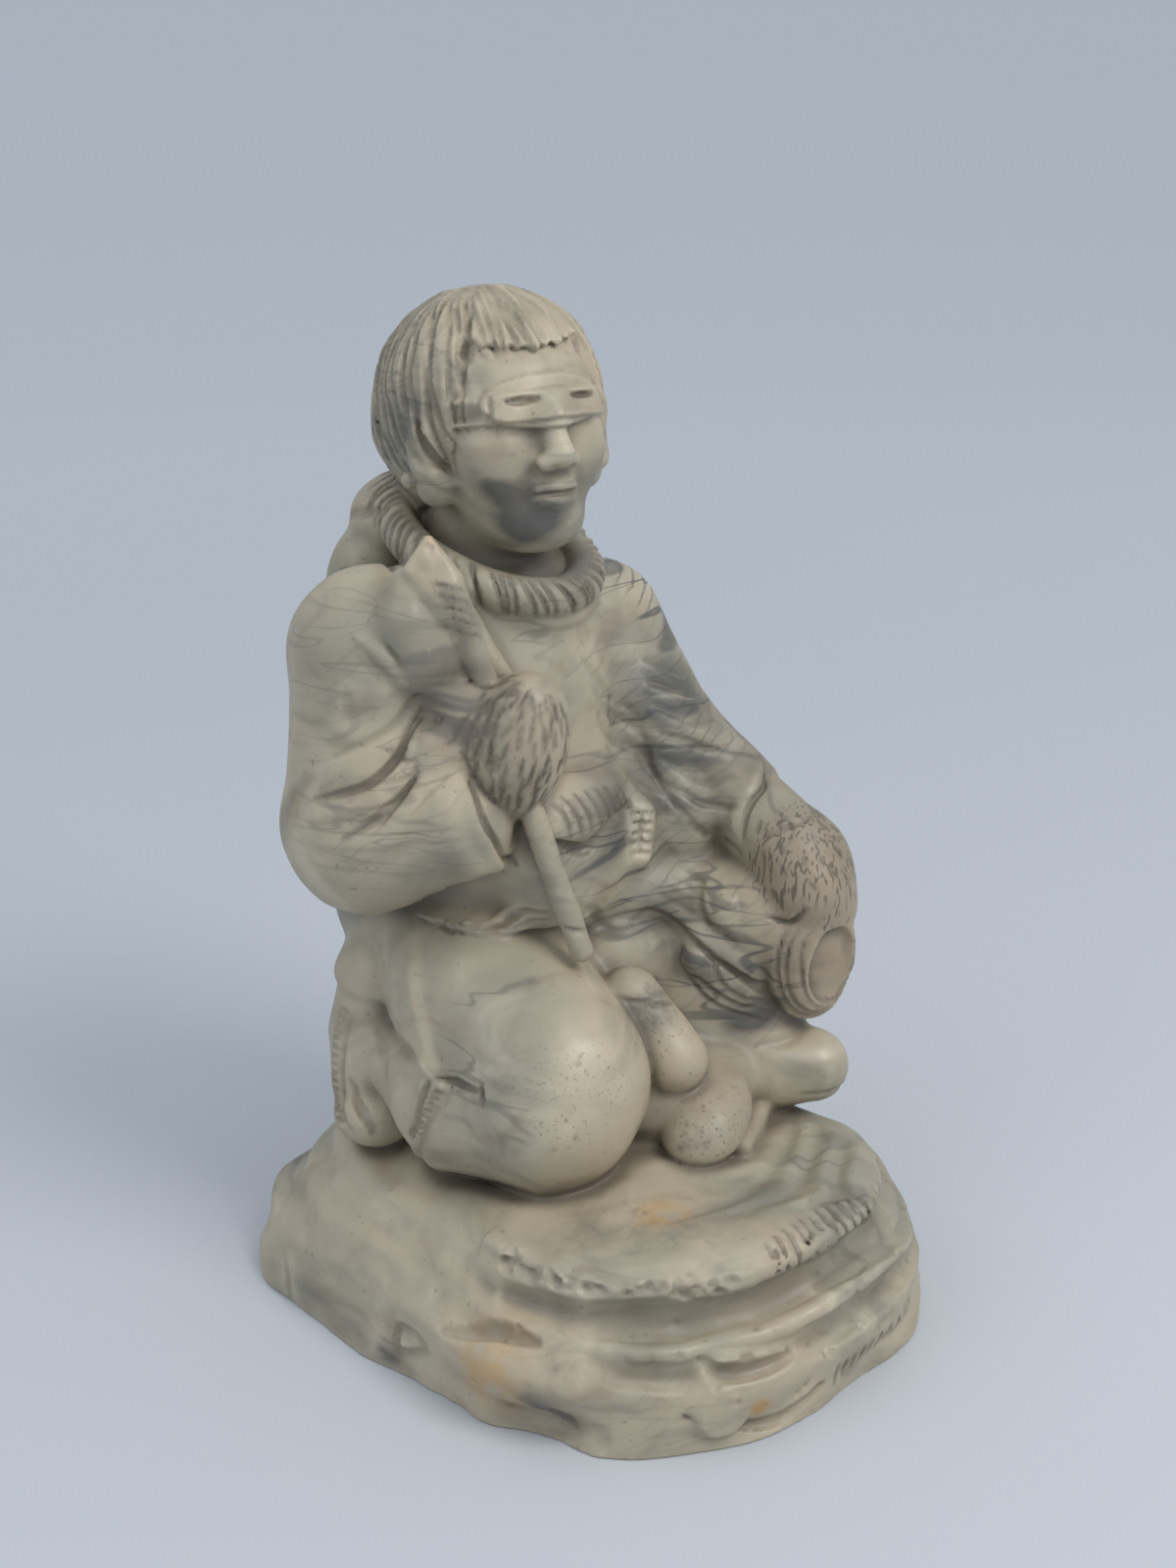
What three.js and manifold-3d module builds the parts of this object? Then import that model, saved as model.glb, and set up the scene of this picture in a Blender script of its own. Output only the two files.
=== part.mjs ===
// A soapstone hunter, kneeling on one knee on a rock ledge, carved from one block.
// Millimetres, +Z up. The hunter faces -Y; the hunter's right hand is on the -X side.
// The carving is one field of distances, worked like clay: forms are pressed on and cut
// away, relief is raised and carved, and marching cubes give the surface where it is zero.
import * as THREE from "three";
import { edgeTable, triTable } from "three/addons/objects/MarchingCubes.js";
import { SimplifyModifier } from "three/addons/modifiers/SimplifyModifier.js";
import { mergeVertices } from "three/addons/utils/BufferGeometryUtils.js";
import Module from "manifold-3d";

// ---------- driving dimensions ----------
const CELL = 2;
const VERTICES = 4900;
const LOW = [-110, -122, -22];
const HIGH = [76, 112, 308];
const FAR = 60;
const BASE_TOP = 47;

// the head is worked in its own axes, face towards -Y, then leant back and turned to its right
const HEAD = [0, 43, 259];
const LEAN = -12;
const TURN = -17;

const joint = {
  shoulderR: [-47, 48, 195],
  elbowR: [-55, 43, 145],
  wristR: [-44, 6, 155],
  mittR: [-34, 5, 172],
  shoulderL: [37, 38, 188],
  elbowL: [47, 17, 154],
  wristL: [49, -14, 135.5],
  mittL: [47, -38.5, 122],
  hipR: [-24, 44, 100],
  kneeR: [-37, -9, 74],
  shinR: [-40, -12, 68],
  cuffR: [-58, 17, 66],
  hipL: [24, 42, 96],
  kneeL: [43, -24, 106],
  ankleL: [44, -26, 66],
  toeL: [45, -46, 60],
};
const SHAFT = [[-44.5, 18.2, 219], [-25.5, -13.2, 112]];

// ---------- sums with points ----------
const RAD = Math.PI / 180;
const add = (a, b) => a.map((v, i) => v + b[i]);
const between = (a, b, t) => a.map((v, i) => v + (b[i] - v) * t);
const clamp = (v, lo, hi) => Math.min(hi, Math.max(lo, v));
const smooth = (t) => {
  const s = clamp(t, 0, 1);
  return s * s * (3 - 2 * s);
};
const spin = ([x, y], degrees) => {
  const c = Math.cos(degrees * RAD);
  const s = Math.sin(degrees * RAD);
  return [x * c - y * s, x * s + y * c];
};
const onHead = ([x, y, z]) => {
  const [back, up] = spin([y, z], LEAN);
  return add(HEAD, [...spin([x, back], TURN), up]);
};
const span = (count, from, to) =>
  Array.from({ length: count }, (_, i) => from + ((to - from) * i) / Math.max(1, count - 1));

// ---------- forms: each has a box and a distance ----------
// rows of the turning matrix, so that a point is brought into a form's own axes
function axesOf(turn) {
  const e = new THREE.Matrix4().makeRotationFromEuler(
    new THREE.Euler(...turn.map((d) => d * RAD), "ZYX"),
  ).elements;
  return (x, y, z) => [
    e[0] * x + e[1] * y + e[2] * z,
    e[4] * x + e[5] * y + e[6] * z,
    e[8] * x + e[9] * y + e[10] * z,
  ];
}

function around(centre, reach, distance) {
  return {
    low: centre.map((c) => c - reach),
    high: centre.map((c) => c + reach),
    distance,
  };
}

function egg(centre, radii, turn = [0, 0, 0]) {
  const own = axesOf(turn);
  const [rx, ry, rz] = radii;
  return around(centre, Math.max(...radii), (x, y, z) => {
    const p = own(x - centre[0], y - centre[1], z - centre[2]);
    const k0 = Math.hypot(p[0] / rx, p[1] / ry, p[2] / rz);
    const k1 = Math.hypot(p[0] / rx ** 2, p[1] / ry ** 2, p[2] / rz ** 2);
    return k1 < 1e-9 ? -Math.min(rx, ry, rz) : (k0 * (k0 - 1)) / k1;
  });
}

function block(centre, half, round, turn = [0, 0, 0]) {
  const own = axesOf(turn);
  return around(centre, Math.hypot(...half), (x, y, z) => {
    const p = own(x - centre[0], y - centre[1], z - centre[2]);
    const q = p.map((v, i) => Math.abs(v) - half[i] + round);
    const out = Math.hypot(Math.max(q[0], 0), Math.max(q[1], 0), Math.max(q[2], 0));
    return out + Math.min(Math.max(q[0], q[1], q[2]), 0) - round;
  });
}

// a ring lies in its own XY plane, with two radii and a round section
function ring(centre, rx, ry, thick, turn = [0, 0, 0]) {
  const own = axesOf(turn);
  return around(centre, Math.max(rx, ry) + thick, (x, y, z) => {
    const p = own(x - centre[0], y - centre[1], z - centre[2]);
    const k0 = Math.hypot(p[0] / rx, p[1] / ry);
    const k1 = Math.hypot(p[0] / rx ** 2, p[1] / ry ** 2);
    const flat = k1 < 1e-9 ? -Math.min(rx, ry) : (k0 * (k0 - 1)) / k1;
    return Math.hypot(flat, p[2]) - thick;
  });
}

function limb(points, radii) {
  const r = points.map((_, i) => (Array.isArray(radii) ? radii[i] : radii));
  const reach = Math.max(...r);
  const parts = points.slice(1).map((b, i) => {
    const a = points[i];
    const ab = b.map((v, k) => v - a[k]);
    return { a, ab, l2: Math.max(1e-9, ab[0] ** 2 + ab[1] ** 2 + ab[2] ** 2), ra: r[i], rb: r[i + 1] };
  });
  return {
    low: [0, 1, 2].map((k) => Math.min(...points.map((p) => p[k])) - reach),
    high: [0, 1, 2].map((k) => Math.max(...points.map((p) => p[k])) + reach),
    distance(x, y, z) {
      let best = Infinity;
      for (const { a, ab, l2, ra, rb } of parts) {
        const dx = x - a[0];
        const dy = y - a[1];
        const dz = z - a[2];
        const t = clamp((dx * ab[0] + dy * ab[1] + dz * ab[2]) / l2, 0, 1);
        const d = Math.hypot(dx - ab[0] * t, dy - ab[1] * t, dz - ab[2] * t) - ra - (rb - ra) * t;
        best = Math.min(best, d);
      }
      return best;
    },
  };
}

// a limb with flat ends, for sleeve ends and trouser cuffs
function sleeve(a, b, ra, rb, round) {
  const ab = b.map((v, k) => v - a[k]);
  const long = Math.hypot(...ab);
  const dir = ab.map((v) => v / long);
  const reach = Math.max(ra, rb);
  return {
    low: [0, 1, 2].map((k) => Math.min(a[k], b[k]) - reach),
    high: [0, 1, 2].map((k) => Math.max(a[k], b[k]) + reach),
    distance(x, y, z) {
      const d = [x - a[0], y - a[1], z - a[2]];
      const t = d[0] * dir[0] + d[1] * dir[1] + d[2] * dir[2];
      const r = Math.sqrt(Math.max(0, d[0] ** 2 + d[1] ** 2 + d[2] ** 2 - t * t));
      const side = r - ra - (rb - ra) * clamp(t / long, 0, 1) + round;
      const end = Math.abs(t - long / 2) - long / 2 + round;
      return Math.min(Math.max(side, end), 0) + Math.hypot(Math.max(side, 0), Math.max(end, 0)) - round;
    },
  };
}

// rock in plan is a rounded rectangle with a wobbling edge
function ledge(centre, half, [frontR, frontL, back], z0, z1, round, wobble) {
  const [cx, cy] = centre;
  return {
    low: [cx - half[0] - 8, cy - half[1] - 8, z0 - 2],
    high: [cx + half[0] + 8, cy + half[1] + 8, z1 + 2],
    distance(x, y, z) {
      const corner = y > cy ? back : x < cx ? frontR : frontL;
      const lift = 2.4 * Math.sin(2 * Math.atan2(y - cy, x - cx) + z1 / 9);
      const qx = Math.abs(x - cx) - half[0] + corner;
      const qy = Math.abs(y - cy) - half[1] + corner;
      const plan = Math.hypot(Math.max(qx, 0), Math.max(qy, 0)) + Math.min(Math.max(qx, qy), 0) - corner;
      const side = plan - wobble(Math.atan2(y - cy, x - cx), z) + round;
      const up = Math.abs(z - lift - (z0 + z1) / 2) - (z1 - z0) / 2 + round;
      return Math.min(Math.max(side, up), 0) + Math.hypot(Math.max(side, 0), Math.max(up, 0)) - round;
    },
  };
}

// a region between planes, each plane given by a place on it and the way it faces
function region(low, high, planes) {
  const set = planes.map(([place, facing]) => {
    const long = Math.hypot(...facing);
    return { place, facing: facing.map((v) => v / long) };
  });
  return {
    low,
    high,
    distance: (x, y, z) =>
      Math.max(
        ...set.map(
          ({ place, facing }) =>
            (x - place[0]) * facing[0] + (y - place[1]) * facing[1] + (z - place[2]) * facing[2],
        ),
      ),
  };
}

// ---------- clay ----------
const size = [0, 1, 2].map((k) => Math.round((HIGH[k] - LOW[k]) / CELL) + 1);
const clay = new Float32Array(size[0] * size[1] * size[2]).fill(FAR);

function work(form, margin, change) {
  const from = form.low.map((v, k) => Math.max(0, Math.floor((v - margin - LOW[k]) / CELL)));
  const to = form.high.map((v, k) => Math.min(size[k] - 1, Math.ceil((v + margin - LOW[k]) / CELL)));
  for (let k = from[2]; k <= to[2]; k++)
    for (let j = from[1]; j <= to[1]; j++)
      for (let i = from[0]; i <= to[0]; i++) {
        const at = i + size[0] * (j + size[1] * k);
        const d = form.distance(LOW[0] + i * CELL, LOW[1] + j * CELL, LOW[2] + k * CELL);
        clay[at] = change(clay[at], d);
      }
}

function join(a, b, blend) {
  const h = Math.max(blend - Math.abs(a - b), 0) / blend;
  return Math.min(a, b) - (h * h * blend) / 4;
}
const press = (form, blend = 2) => work(form, blend + 3 * CELL, (a, d) => join(a, d, blend));
const cut = (form, blend = 1) => work(form, blend + CELL, (a, d) => -join(-a, d, blend));
const raise = (form, height, edge = 1) =>
  work(form, edge, (a, d) => a - height * smooth(0.5 - d / edge));
const carve = (form, depth, edge = 1) => raise(form, -depth, edge);

// ---------- rock ----------
const rough = (a, z) => 0.8 * Math.sin(5 * a + 0.11 * z) + 0.5 * Math.sin(11 * a - 0.2 * z + 2);
press(ledge([-21, -11], [74, 95], [72, 52, 36], -14, 24, 4, rough), 1);
press(ledge([-19, -13], [70, 90], [68, 50, 44], 8, 34, 8, (a, z) => 1.6 * rough(a + 1, z)), 4);
press(ledge([-16, -12], [66, 84], [64, 48, 50], 22, BASE_TOP, 9, (a, z) => 1.4 * rough(a + 2, z)), 5);
cut(region([-130, 0, -20], [0, 130, 80], [[[-62, 62, 47], [0.8, -0.3, -0.62]]]), 22);
// two hollow bands under the front edges of the rock, and a hollow low at the corner
const rim = (half, from, to, z) =>
  span(13, from, to).map((a) => {
    const c = Math.cos(a * RAD);
    const s = Math.sin(a * RAD);
    const square = (v) => Math.sign(v) * Math.abs(v) ** 0.8;
    return [-18 + half[0] * square(c), -12 + half[1] * square(s), z];
  });
carve(limb(rim([69, 88], -168, -66, 36), 4), 2.6, 5);
carve(limb(rim([74, 95], -150, -50, 24), 3.5), 2.2, 5);
carve(limb([[-93, -46, 6], [-88, -58, 5], [-80, -70, 5]], 5), 3, 4);

// ---------- legs ----------
press(limb([joint.hipR, between(joint.hipR, joint.kneeR, 0.5), joint.kneeR], [25, 31, 31]), 4);
press(limb([joint.shinR, add(joint.cuffR, [5, -8, 0])], [27, 20]), 2);
press(sleeve(joint.shinR, joint.cuffR, 25, 20, 3), 2);
press(limb([[-44, 54, 90], [-49, 52, 74], [-54, 48, 60]], [12, 13.5, 12]), 3);
press(egg([-59, 41, 53], [12, 13, 9.5]), 2);
press(limb([joint.cuffR, [-50, 44, 72]], [12, 10]), 3);
press(limb([joint.hipL, joint.kneeL], [25, 21]), 4);
press(egg([24, -8, 72], [22, 22, 26]), 6);
press(limb([joint.kneeL, joint.ankleL], [17, 13]), 4);
press(limb([[30, -18, 90], [36, -24, 72]], [17, 15]), 6);
press(limb([add(joint.ankleL, [0, 0, 2]), add(joint.ankleL, [0, 2, -10])], [13, 12]), 3);
press(limb([[30, -16, 60], [36, -36, 59], joint.toeL], [14, 12.5, 11.5]), 6);
// the sole of the right boot is turned back, and the trouser cuff stands out
raise(region([-80, 50, 52], [-20, 80, 110], [[[-50, 55, 74], [-0.35, -1, -0.1]]]), 1.4, 2);
raise(region([-90, -10, 52], [-40, 30, 90], [[[-59, 12, 66], [1, -1.6, 0.05]]]), 1.4, 2);
// the notch behind the bent knee
carve(limb([[-72, 4, 83], [-67, -4, 82], [-65, -12, 81.5]], [2.4, 2, 1.4]), 2.6, 3);

// ---------- body ----------
press(egg([0, 56, 110], [47, 36, 34]), 6);
press(egg([2, 50, 84], [34, 28, 34]), 8);
press(egg([0, 37, 137], [43, 41, 34]), 8);
press(egg([-3, 44, 170], [44, 36, 42]), 8);
press(egg([0, 62, 146], [40, 30, 62]), 8);
press(limb([[-39, 27, 208], [-32, 15, 184], [-24, 12, 150], [-19, 7, 122]], [8, 9, 11, 10]), 6);
press(limb([joint.shoulderR, joint.shoulderL], [24, 20]), 8);
press(limb([[30, 26, 176], [34, 2, 134]], [14, 16]), 6);
press(limb([[0, 48, 214], [0, 46, 240]], [20, 17]), 4);
press(egg([0, 42, 211], [27, 30, 8], [22, 0, 0]), 4);
press(egg([22, 4, 112], [24, 18, 14], [-20, 0, -20]), 4);
press(egg([-4, 8, 128], [24, 14, 22]), 5);
press(egg([-8, 6, 148], [23, 13, 11], [24, 0, 10]), 2);
press(egg([14, 3, 134], [12, 9, 15]), 5);
// the parka hangs to a point over the hip, and its front ends in a hem over the thigh
const PARKA = [[-100, -60, 60], [100, 130, 186]];
const PARKA_STEP = 2.4;
const tail = region(...PARKA, [
  [[-60, 5.5, 81.6], [0, -1, 0.83]],
  [[-60, 5.5, 81.6], [0, 0.16, -1]],
]);
const front = region(...PARKA, [[[-14, 4, 115.5], [0, 0, -1]]]);
// the step fades out upwards, and towards the left hip
const skirt = {
  low: PARKA[0],
  high: PARKA[1],
  distance(x, y, z) {
    const share = smooth(0.5 - Math.min(tail.distance(x, y, z), front.distance(x, y, z)) / 2);
    return share * smooth((160 - z) / 45) * smooth((8 - x) / 22);
  },
};
work(skirt, 0, (a, share) => a - PARKA_STEP * share);
// the apron over the left thigh
const HEM = [[2, -11, 112], [9, -12, 112], [15, -14, 107], [19, -22, 100], [25, -30, 92], [31, -35, 86]];
raise(limb(HEM.map((p) => add(p, [0.5, 0, 3])), 2), 0.9, 3);
carve(limb(HEM, 1.2), 1.4, 2);

// ---------- arms ----------
press(limb([joint.shoulderR, joint.elbowR], [23.5, 25]), 4);
press(limb([joint.elbowR, between(joint.elbowR, joint.wristR, 0.7)], [25, 18]), 4);
press(sleeve(joint.elbowR, joint.wristR, 24, 17.5, 3), 4);
press(limb([[-42, 26, 200], [-40, 22, 180], [-41, 20, 164]], 10), 6);
press(limb([joint.shoulderL, joint.elbowL], [20, 16.5]), 4);
press(sleeve(joint.elbowL, joint.wristL, 16.5, 15, 2.5), 3);
press(limb([[33, 25, 178], [36, 8, 158]], 13), 6);
// folds of the right sleeve run round the inside of the elbow
const foldsR = [
  [[-53, 22, 190], [-60, 25, 181], [-68, 29, 176], [-75, 36, 172]],
  [[-53, 22, 184], [-59, 23, 174], [-69, 27, 165], [-79, 40, 160]],
  [[-60, 17, 167], [-66, 19, 161], [-71, 24, 155], [-77, 30, 150]],
];
foldsR.forEach((path) => carve(limb(path, [1.4, 2.2, 2.2, 1.2]), 1.6, 3));
foldsR.forEach((path) => raise(limb(path.map((p) => add(p, [0, -2, -5])), [1, 2.4, 2.4, 1]), 1, 4));
carve(limb([[-63, 31, 204], [-55, 26, 196]], 2), 1.6, 3);
// folds of the left sleeve
for (const t of span(4, 0, 1)) {
  const from = between([30, 10, 184], [23, -4, 148], t);
  const to = between([50, 10, 178], [41, -20, 138], t);
  carve(limb([from, add(between(from, to, 0.5), [0, -4, -2]), to], [1, 2, 1]), 1, 4);
}

// ---------- mittens ----------
press(egg(joint.mittR, [15.5, 16, 24], [20, 12, -30]), 2);
press(egg([-44, 13, 178], [8, 10, 14]), 4);
press(limb([joint.wristL, add(joint.mittL, [0, 7, 5])], [14, 15]), 2);
press(egg(joint.mittL, [16, 15, 20], [-24, 0, 0]), 2);
press(limb([[44, -46, 119], [51, -47, 110]], [8, 6.5]), 5);
press(egg([45.5, -44, 114], [12, 9.5, 10.5], [0, 0, -36]), 2);

// ---------- rope coil ----------
const COIL = { turn: [0, 0, -36], middle: [43, -45, 97], radii: [14.5, 8, 21], loops: 4 };
press(egg([46, -38, 97], [16, 9, 21], COIL.turn), 3);
press(egg(COIL.middle, COIL.radii, COIL.turn), 1.5);
carve(egg([46.5, -50, 95], [7.5, 4.5, 12], COIL.turn), 4.5, 3);
// each loop lies on the face of the coil, nearer its outer side than the one before
for (const t of span(COIL.loops, 0, 1)) {
  const loop = span(10, 125, 300 + 60 * t).map((a) => {
    const x = 4.8 * t + (12.6 - 4.6 * t) * Math.cos(a * RAD);
    const z = (19 - 5.5 * t) * Math.sin(a * RAD);
    const share = 1 - (x / COIL.radii[0]) ** 2 - (z / COIL.radii[2]) ** 2;
    const y = -COIL.radii[1] * Math.sqrt(Math.max(0, share));
    return add(COIL.middle, [...spin([x, y], COIL.turn[2]), z]);
  });
  carve(limb(loop, 0.7), 1, 1.5);
}

// ---------- head ----------
const FACE = [LEAN, 0, TURN];
press(limb([onHead([0, 22, -8]), onHead([0, 28, -26])], [18, 14]), 5);
press(egg(onHead([0, 2, 0]), [29.5, 33, 31], FACE), 1);
press(egg(onHead([0, -9, -14]), [22, 22, 26], FACE), 5);
press(egg(onHead([0, -18, -33]), [13, 12, 8.5], FACE), 6);
for (const side of [-1, 1]) {
  press(egg(onHead([13 * side, -20, -13]), [9, 8, 10], FACE), 6);
  press(egg(onHead([4.4 * side, -32.6, -16.5]), [2.9, 3, 2.4], FACE), 1.6);
}
press(limb([onHead([0, -30.5, -3]), onHead([0, -35.6, -14.8])], [2.8, 3.7]), 3.5);
press(egg(onHead([0, -29.6, -23.6]), [7.6, 3, 2.2], FACE), 2.5);
press(egg(onHead([0, -28.9, -27.4]), [6.4, 3.2, 2.2], FACE), 2.5);
// the snow goggles: a broad band over the eyes on a strap, with two slits
raise(block(onHead([0, -20, -0.6]), [34, 24, 4], 1, FACE), 1.9, 1.6);
raise(egg(onHead([0, -34, 0.6]), [21, 22, 7.6], FACE), 2.3, 1.6);
for (const side of [-1, 1])
  carve(limb([onHead([5 * side, -36, 1]), onHead([14 * side, -32, 1])], 1), 1.6, 1.5);
// hair lies over the head: above the fringe, and behind the edges of the side curtains
const cap = egg(onHead([0, 4, 3]), [32.5, 36, 33], FACE);
const nape = limb([onHead([0, 14, -8]), onHead([0, 20, -20])], [30, 22]);
const inHead = axesOf(FACE);
const hair = {
  low: cap.low.map((v, k) => Math.min(v, nape.low[k])),
  high: cap.high.map((v, k) => Math.max(v, nape.high[k])),
  distance(x, y, z) {
    const [px, py, pz] = inHead(x - HEAD[0], y - HEAD[1], z - HEAD[2]);
    const curtain = Math.max(-18.5 - py + 0.5 * Math.max(-4 - pz, 0), -22 - pz - 0.25 * py);
    const fringe = 15.5 + 0.012 * px * px - pz;
    const all = join(cap.distance(x, y, z), nape.distance(x, y, z), 6);
    return Math.max(all, Math.min(fringe, curtain));
  },
};
press(hair, 0.8);
for (const side of [-1, 1])
  press(limb([onHead([24.5 * side, -8, -4]), onHead([24 * side, -4, -20])], [7.5, 6]), 3);
// locks fall from the crown
for (const lon of span(27, -200, 160)) {
  const away = Math.abs(((lon + 90 + 540) % 360) - 180);
  const last = away < 48 ? 22 : -26;
  const path = span(6, 72, last).map((lat) => {
    const a = (lon + 0.12 * (60 - lat)) * RAD;
    const c = Math.cos(lat * RAD);
    return onHead([32 * c * Math.cos(a), 4 + 36 * c * Math.sin(a), 3 + 33 * Math.sin(lat * RAD)]);
  });
  carve(limb(path, [0.6, 1.1, 1.3, 1.3, 1.2, 1]), 1.4, 2);
}

// ---------- collar and hood ----------
const COLLAR_TILT = 22;
const COLLAR = { middle: [0, 46, 219], x: 27, y: 31, thick: 6 };
press(ring(COLLAR.middle, COLLAR.x, COLLAR.y, COLLAR.thick, [COLLAR_TILT, 0, 0]), 2);
for (const a of span(30, 0, 348)) {
  const at = (out, up) => {
    const x = (COLLAR.x + out) * Math.cos(a * RAD);
    const [y, z] = spin([(COLLAR.y + out) * Math.sin(a * RAD), up], COLLAR_TILT);
    return add(COLLAR.middle, [x, y, z]);
  };
  carve(limb([at(1, 5), at(5, 1), at(4, -4)], 0.7), 0.9, 1.5);
}
press(egg([0, 80, 207], [33, 16, 24], [14, 0, 0]), 6);
press(egg([0, 74, 225], [26, 18, 13], [8, 0, 0]), 4);

// ---------- harpoon ----------
press(limb(SHAFT, [3.7, 3.5]), 0.8);
press(limb([[-52, 28, 219], [-53, 27, 209], [-50, 23, 198]], [5, 8, 8]), 6);
const blade = [[-47.5, 23.5, 231], [-53.5, 24.5, 223.5], [-46, 20, 212], [-43.5, 18.5, 221]];
press(limb([...blade, blade[0]], [1.6, 2.2, 4, 2.4, 1.6]), 1.5);
press(egg([-48, 22.6, 221.5], [4, 3.4, 7]), 2);
for (const t of span(4, 0, 0.11)) {
  const c = between(...SHAFT, t);
  carve(limb([add(c, [-6, 0.6, 1.5]), add(c, [-3.8, -3.4, 0.4]), add(c, [2, -5, -1.2])], 0.7), 0.8, 1.5);
}

// ---------- beads ----------
for (const t of span(4, 0, 1))
  for (const side of [-1, 1]) {
    const middle = between([12, -5, 141], [7.5, -7.5, 130], t);
    press(egg(add(middle, [1.4 * side, -1.5 * side, 0]), [2.2, 2, 2.2]), 0.8);
  }

// ---------- stones ----------
press(egg([6, 0, 96], [19, 14, 15]), 5);
press(egg([6, 12, 62], [30, 34, 30]), 8);
press(egg([8, -24, 58], [26, 20, 16]), 6);
press(limb([[-8, -17, 92], [-4, -31, 75]], [9, 10]), 2);
press(egg([2, -38, 58], [21, 14, 10], [0, -18, 30]), 1.5);
press(block([14, -34, 49], [20, 14, 4], 3, [0, 0, 25]), 2);

// ---------- surface ----------
const CORNER = [[0, 0, 0], [1, 0, 0], [1, 1, 0], [0, 1, 0], [0, 0, 1], [1, 0, 1], [1, 1, 1], [0, 1, 1]];
const EDGE = [
  [[0, 1], [1, 2], [3, 2], [0, 3]],
  [[4, 5], [5, 6], [7, 6], [4, 7]],
  [[0, 4], [1, 5], [2, 6], [3, 7]],
].flat();
function surface() {
  const places = [];
  const faces = [];
  const known = new Int32Array(clay.length * 3).fill(-1);
  const index = (i, j, k) => i + size[0] * (j + size[1] * k);
  const vertex = (i, j, k, edge) => {
    const [a, b] = EDGE[edge].map((c) => CORNER[c]);
    const from = index(i + a[0], j + a[1], k + a[2]);
    const axis = [0, 1, 2].find((n) => a[n] !== b[n]);
    if (known[3 * from + axis] < 0) {
      const to = index(i + b[0], j + b[1], k + b[2]);
      const p = [i + a[0], j + a[1], k + a[2]];
      p[axis] += clamp(clay[from] / (clay[from] - clay[to]), 0.05, 0.95);
      known[3 * from + axis] = places.push(p.map((v, n) => LOW[n] + v * CELL)) - 1;
    }
    return known[3 * from + axis];
  };
  for (let k = 0; k < size[2] - 1; k++)
    for (let j = 0; j < size[1] - 1; j++)
      for (let i = 0; i < size[0] - 1; i++) {
        let code = 0;
        CORNER.forEach((c, n) => {
          if (clay[index(i + c[0], j + c[1], k + c[2])] > 0) code |= 1 << n;
        });
        for (let t = 16 * code; edgeTable[code] && triTable[t] !== -1; t++)
          faces.push(vertex(i, j, k, triTable[t]));
      }
  return new THREE.BufferGeometry()
    .setAttribute("position", new THREE.Float32BufferAttribute(places.flat(), 3))
    .setIndex(faces);
}

const wasm = await Module();
wasm.setup();
const solidOf = (g) =>
  new wasm.Manifold(
    new wasm.Mesh({
      numProp: 3,
      vertProperties: new Float32Array(g.attributes.position.array),
      triVerts: new Uint32Array(g.index.array),
    }),
  );
const fine = surface();
const spare = fine.attributes.position.count - VERTICES;
const coarse = spare > 0 ? await new SimplifyModifier().modify(fine, spare) : fine;
const floor = new THREE.BoxGeometry(400, 400, 40).translate(0, 0, -20);
floor.deleteAttribute("normal");
floor.deleteAttribute("uv");
const whole = solidOf(coarse).subtract(solidOf(mergeVertices(floor)));
const kept = whole.decompose().sort((a, b) => b.volume() - a.volume())[0];
const mesh = kept.getMesh();
const geometry = new THREE.BufferGeometry()
  .setAttribute("position", new THREE.BufferAttribute(mesh.vertProperties, 3))
  .setIndex(new THREE.BufferAttribute(mesh.triVerts, 1));
// the origin is under the middle of the whole carving
geometry.computeBoundingBox();
const middle = geometry.boundingBox.getCenter(new THREE.Vector3());
geometry.translate(-middle.x, -middle.y, -geometry.boundingBox.min.z);

const hunter = new THREE.Mesh(
  geometry,
  new THREE.MeshStandardMaterial({ color: 0xb5ad9b, roughness: 0.45 }),
);
hunter.name = "hunter";
const group = new THREE.Group();
group.add(hunter);
export default group;
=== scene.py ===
"""A soapstone hunter kneeling on a rock ledge, carved from one block.

The carving is one field of distances, worked like clay: forms are pressed on and cut away,
relief is raised and carved, and a net of quads is drawn where the field is zero.
Sculpting sizes are in millimetres, +Z up; the hunter faces -Y and the hunter's right hand
is on the -X side. The finished mesh is moved into the row frame and is in metres.
"""

from math import cos, pi, radians, sin

import bpy
import numpy as np
from bpy.props import FloatProperty, FloatVectorProperty, IntProperty, PointerProperty
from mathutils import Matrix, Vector


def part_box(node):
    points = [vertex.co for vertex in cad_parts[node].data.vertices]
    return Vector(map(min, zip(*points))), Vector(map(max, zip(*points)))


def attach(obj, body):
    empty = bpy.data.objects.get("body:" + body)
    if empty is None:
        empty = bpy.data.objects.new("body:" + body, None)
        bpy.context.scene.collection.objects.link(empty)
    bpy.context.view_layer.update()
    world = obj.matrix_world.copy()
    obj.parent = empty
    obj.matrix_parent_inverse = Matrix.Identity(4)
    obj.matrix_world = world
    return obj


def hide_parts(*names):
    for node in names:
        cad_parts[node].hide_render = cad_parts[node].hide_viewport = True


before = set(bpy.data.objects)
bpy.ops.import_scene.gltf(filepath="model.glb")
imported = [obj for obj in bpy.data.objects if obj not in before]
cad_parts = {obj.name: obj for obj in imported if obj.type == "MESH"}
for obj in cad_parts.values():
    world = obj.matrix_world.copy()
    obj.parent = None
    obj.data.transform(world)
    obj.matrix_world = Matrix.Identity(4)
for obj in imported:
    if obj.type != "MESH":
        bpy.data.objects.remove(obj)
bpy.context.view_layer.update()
MM = 0.001

bl_info = {
    "name": "Soapstone hunter",
    "version": (1, 0, 0),
    "blender": (4, 5, 0),
    "location": "View3D > Sidebar > Hunter",
    "description": "Carves a kneeling hunter in grey soapstone with a plain stage",
    "category": "Object",
}

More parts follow.
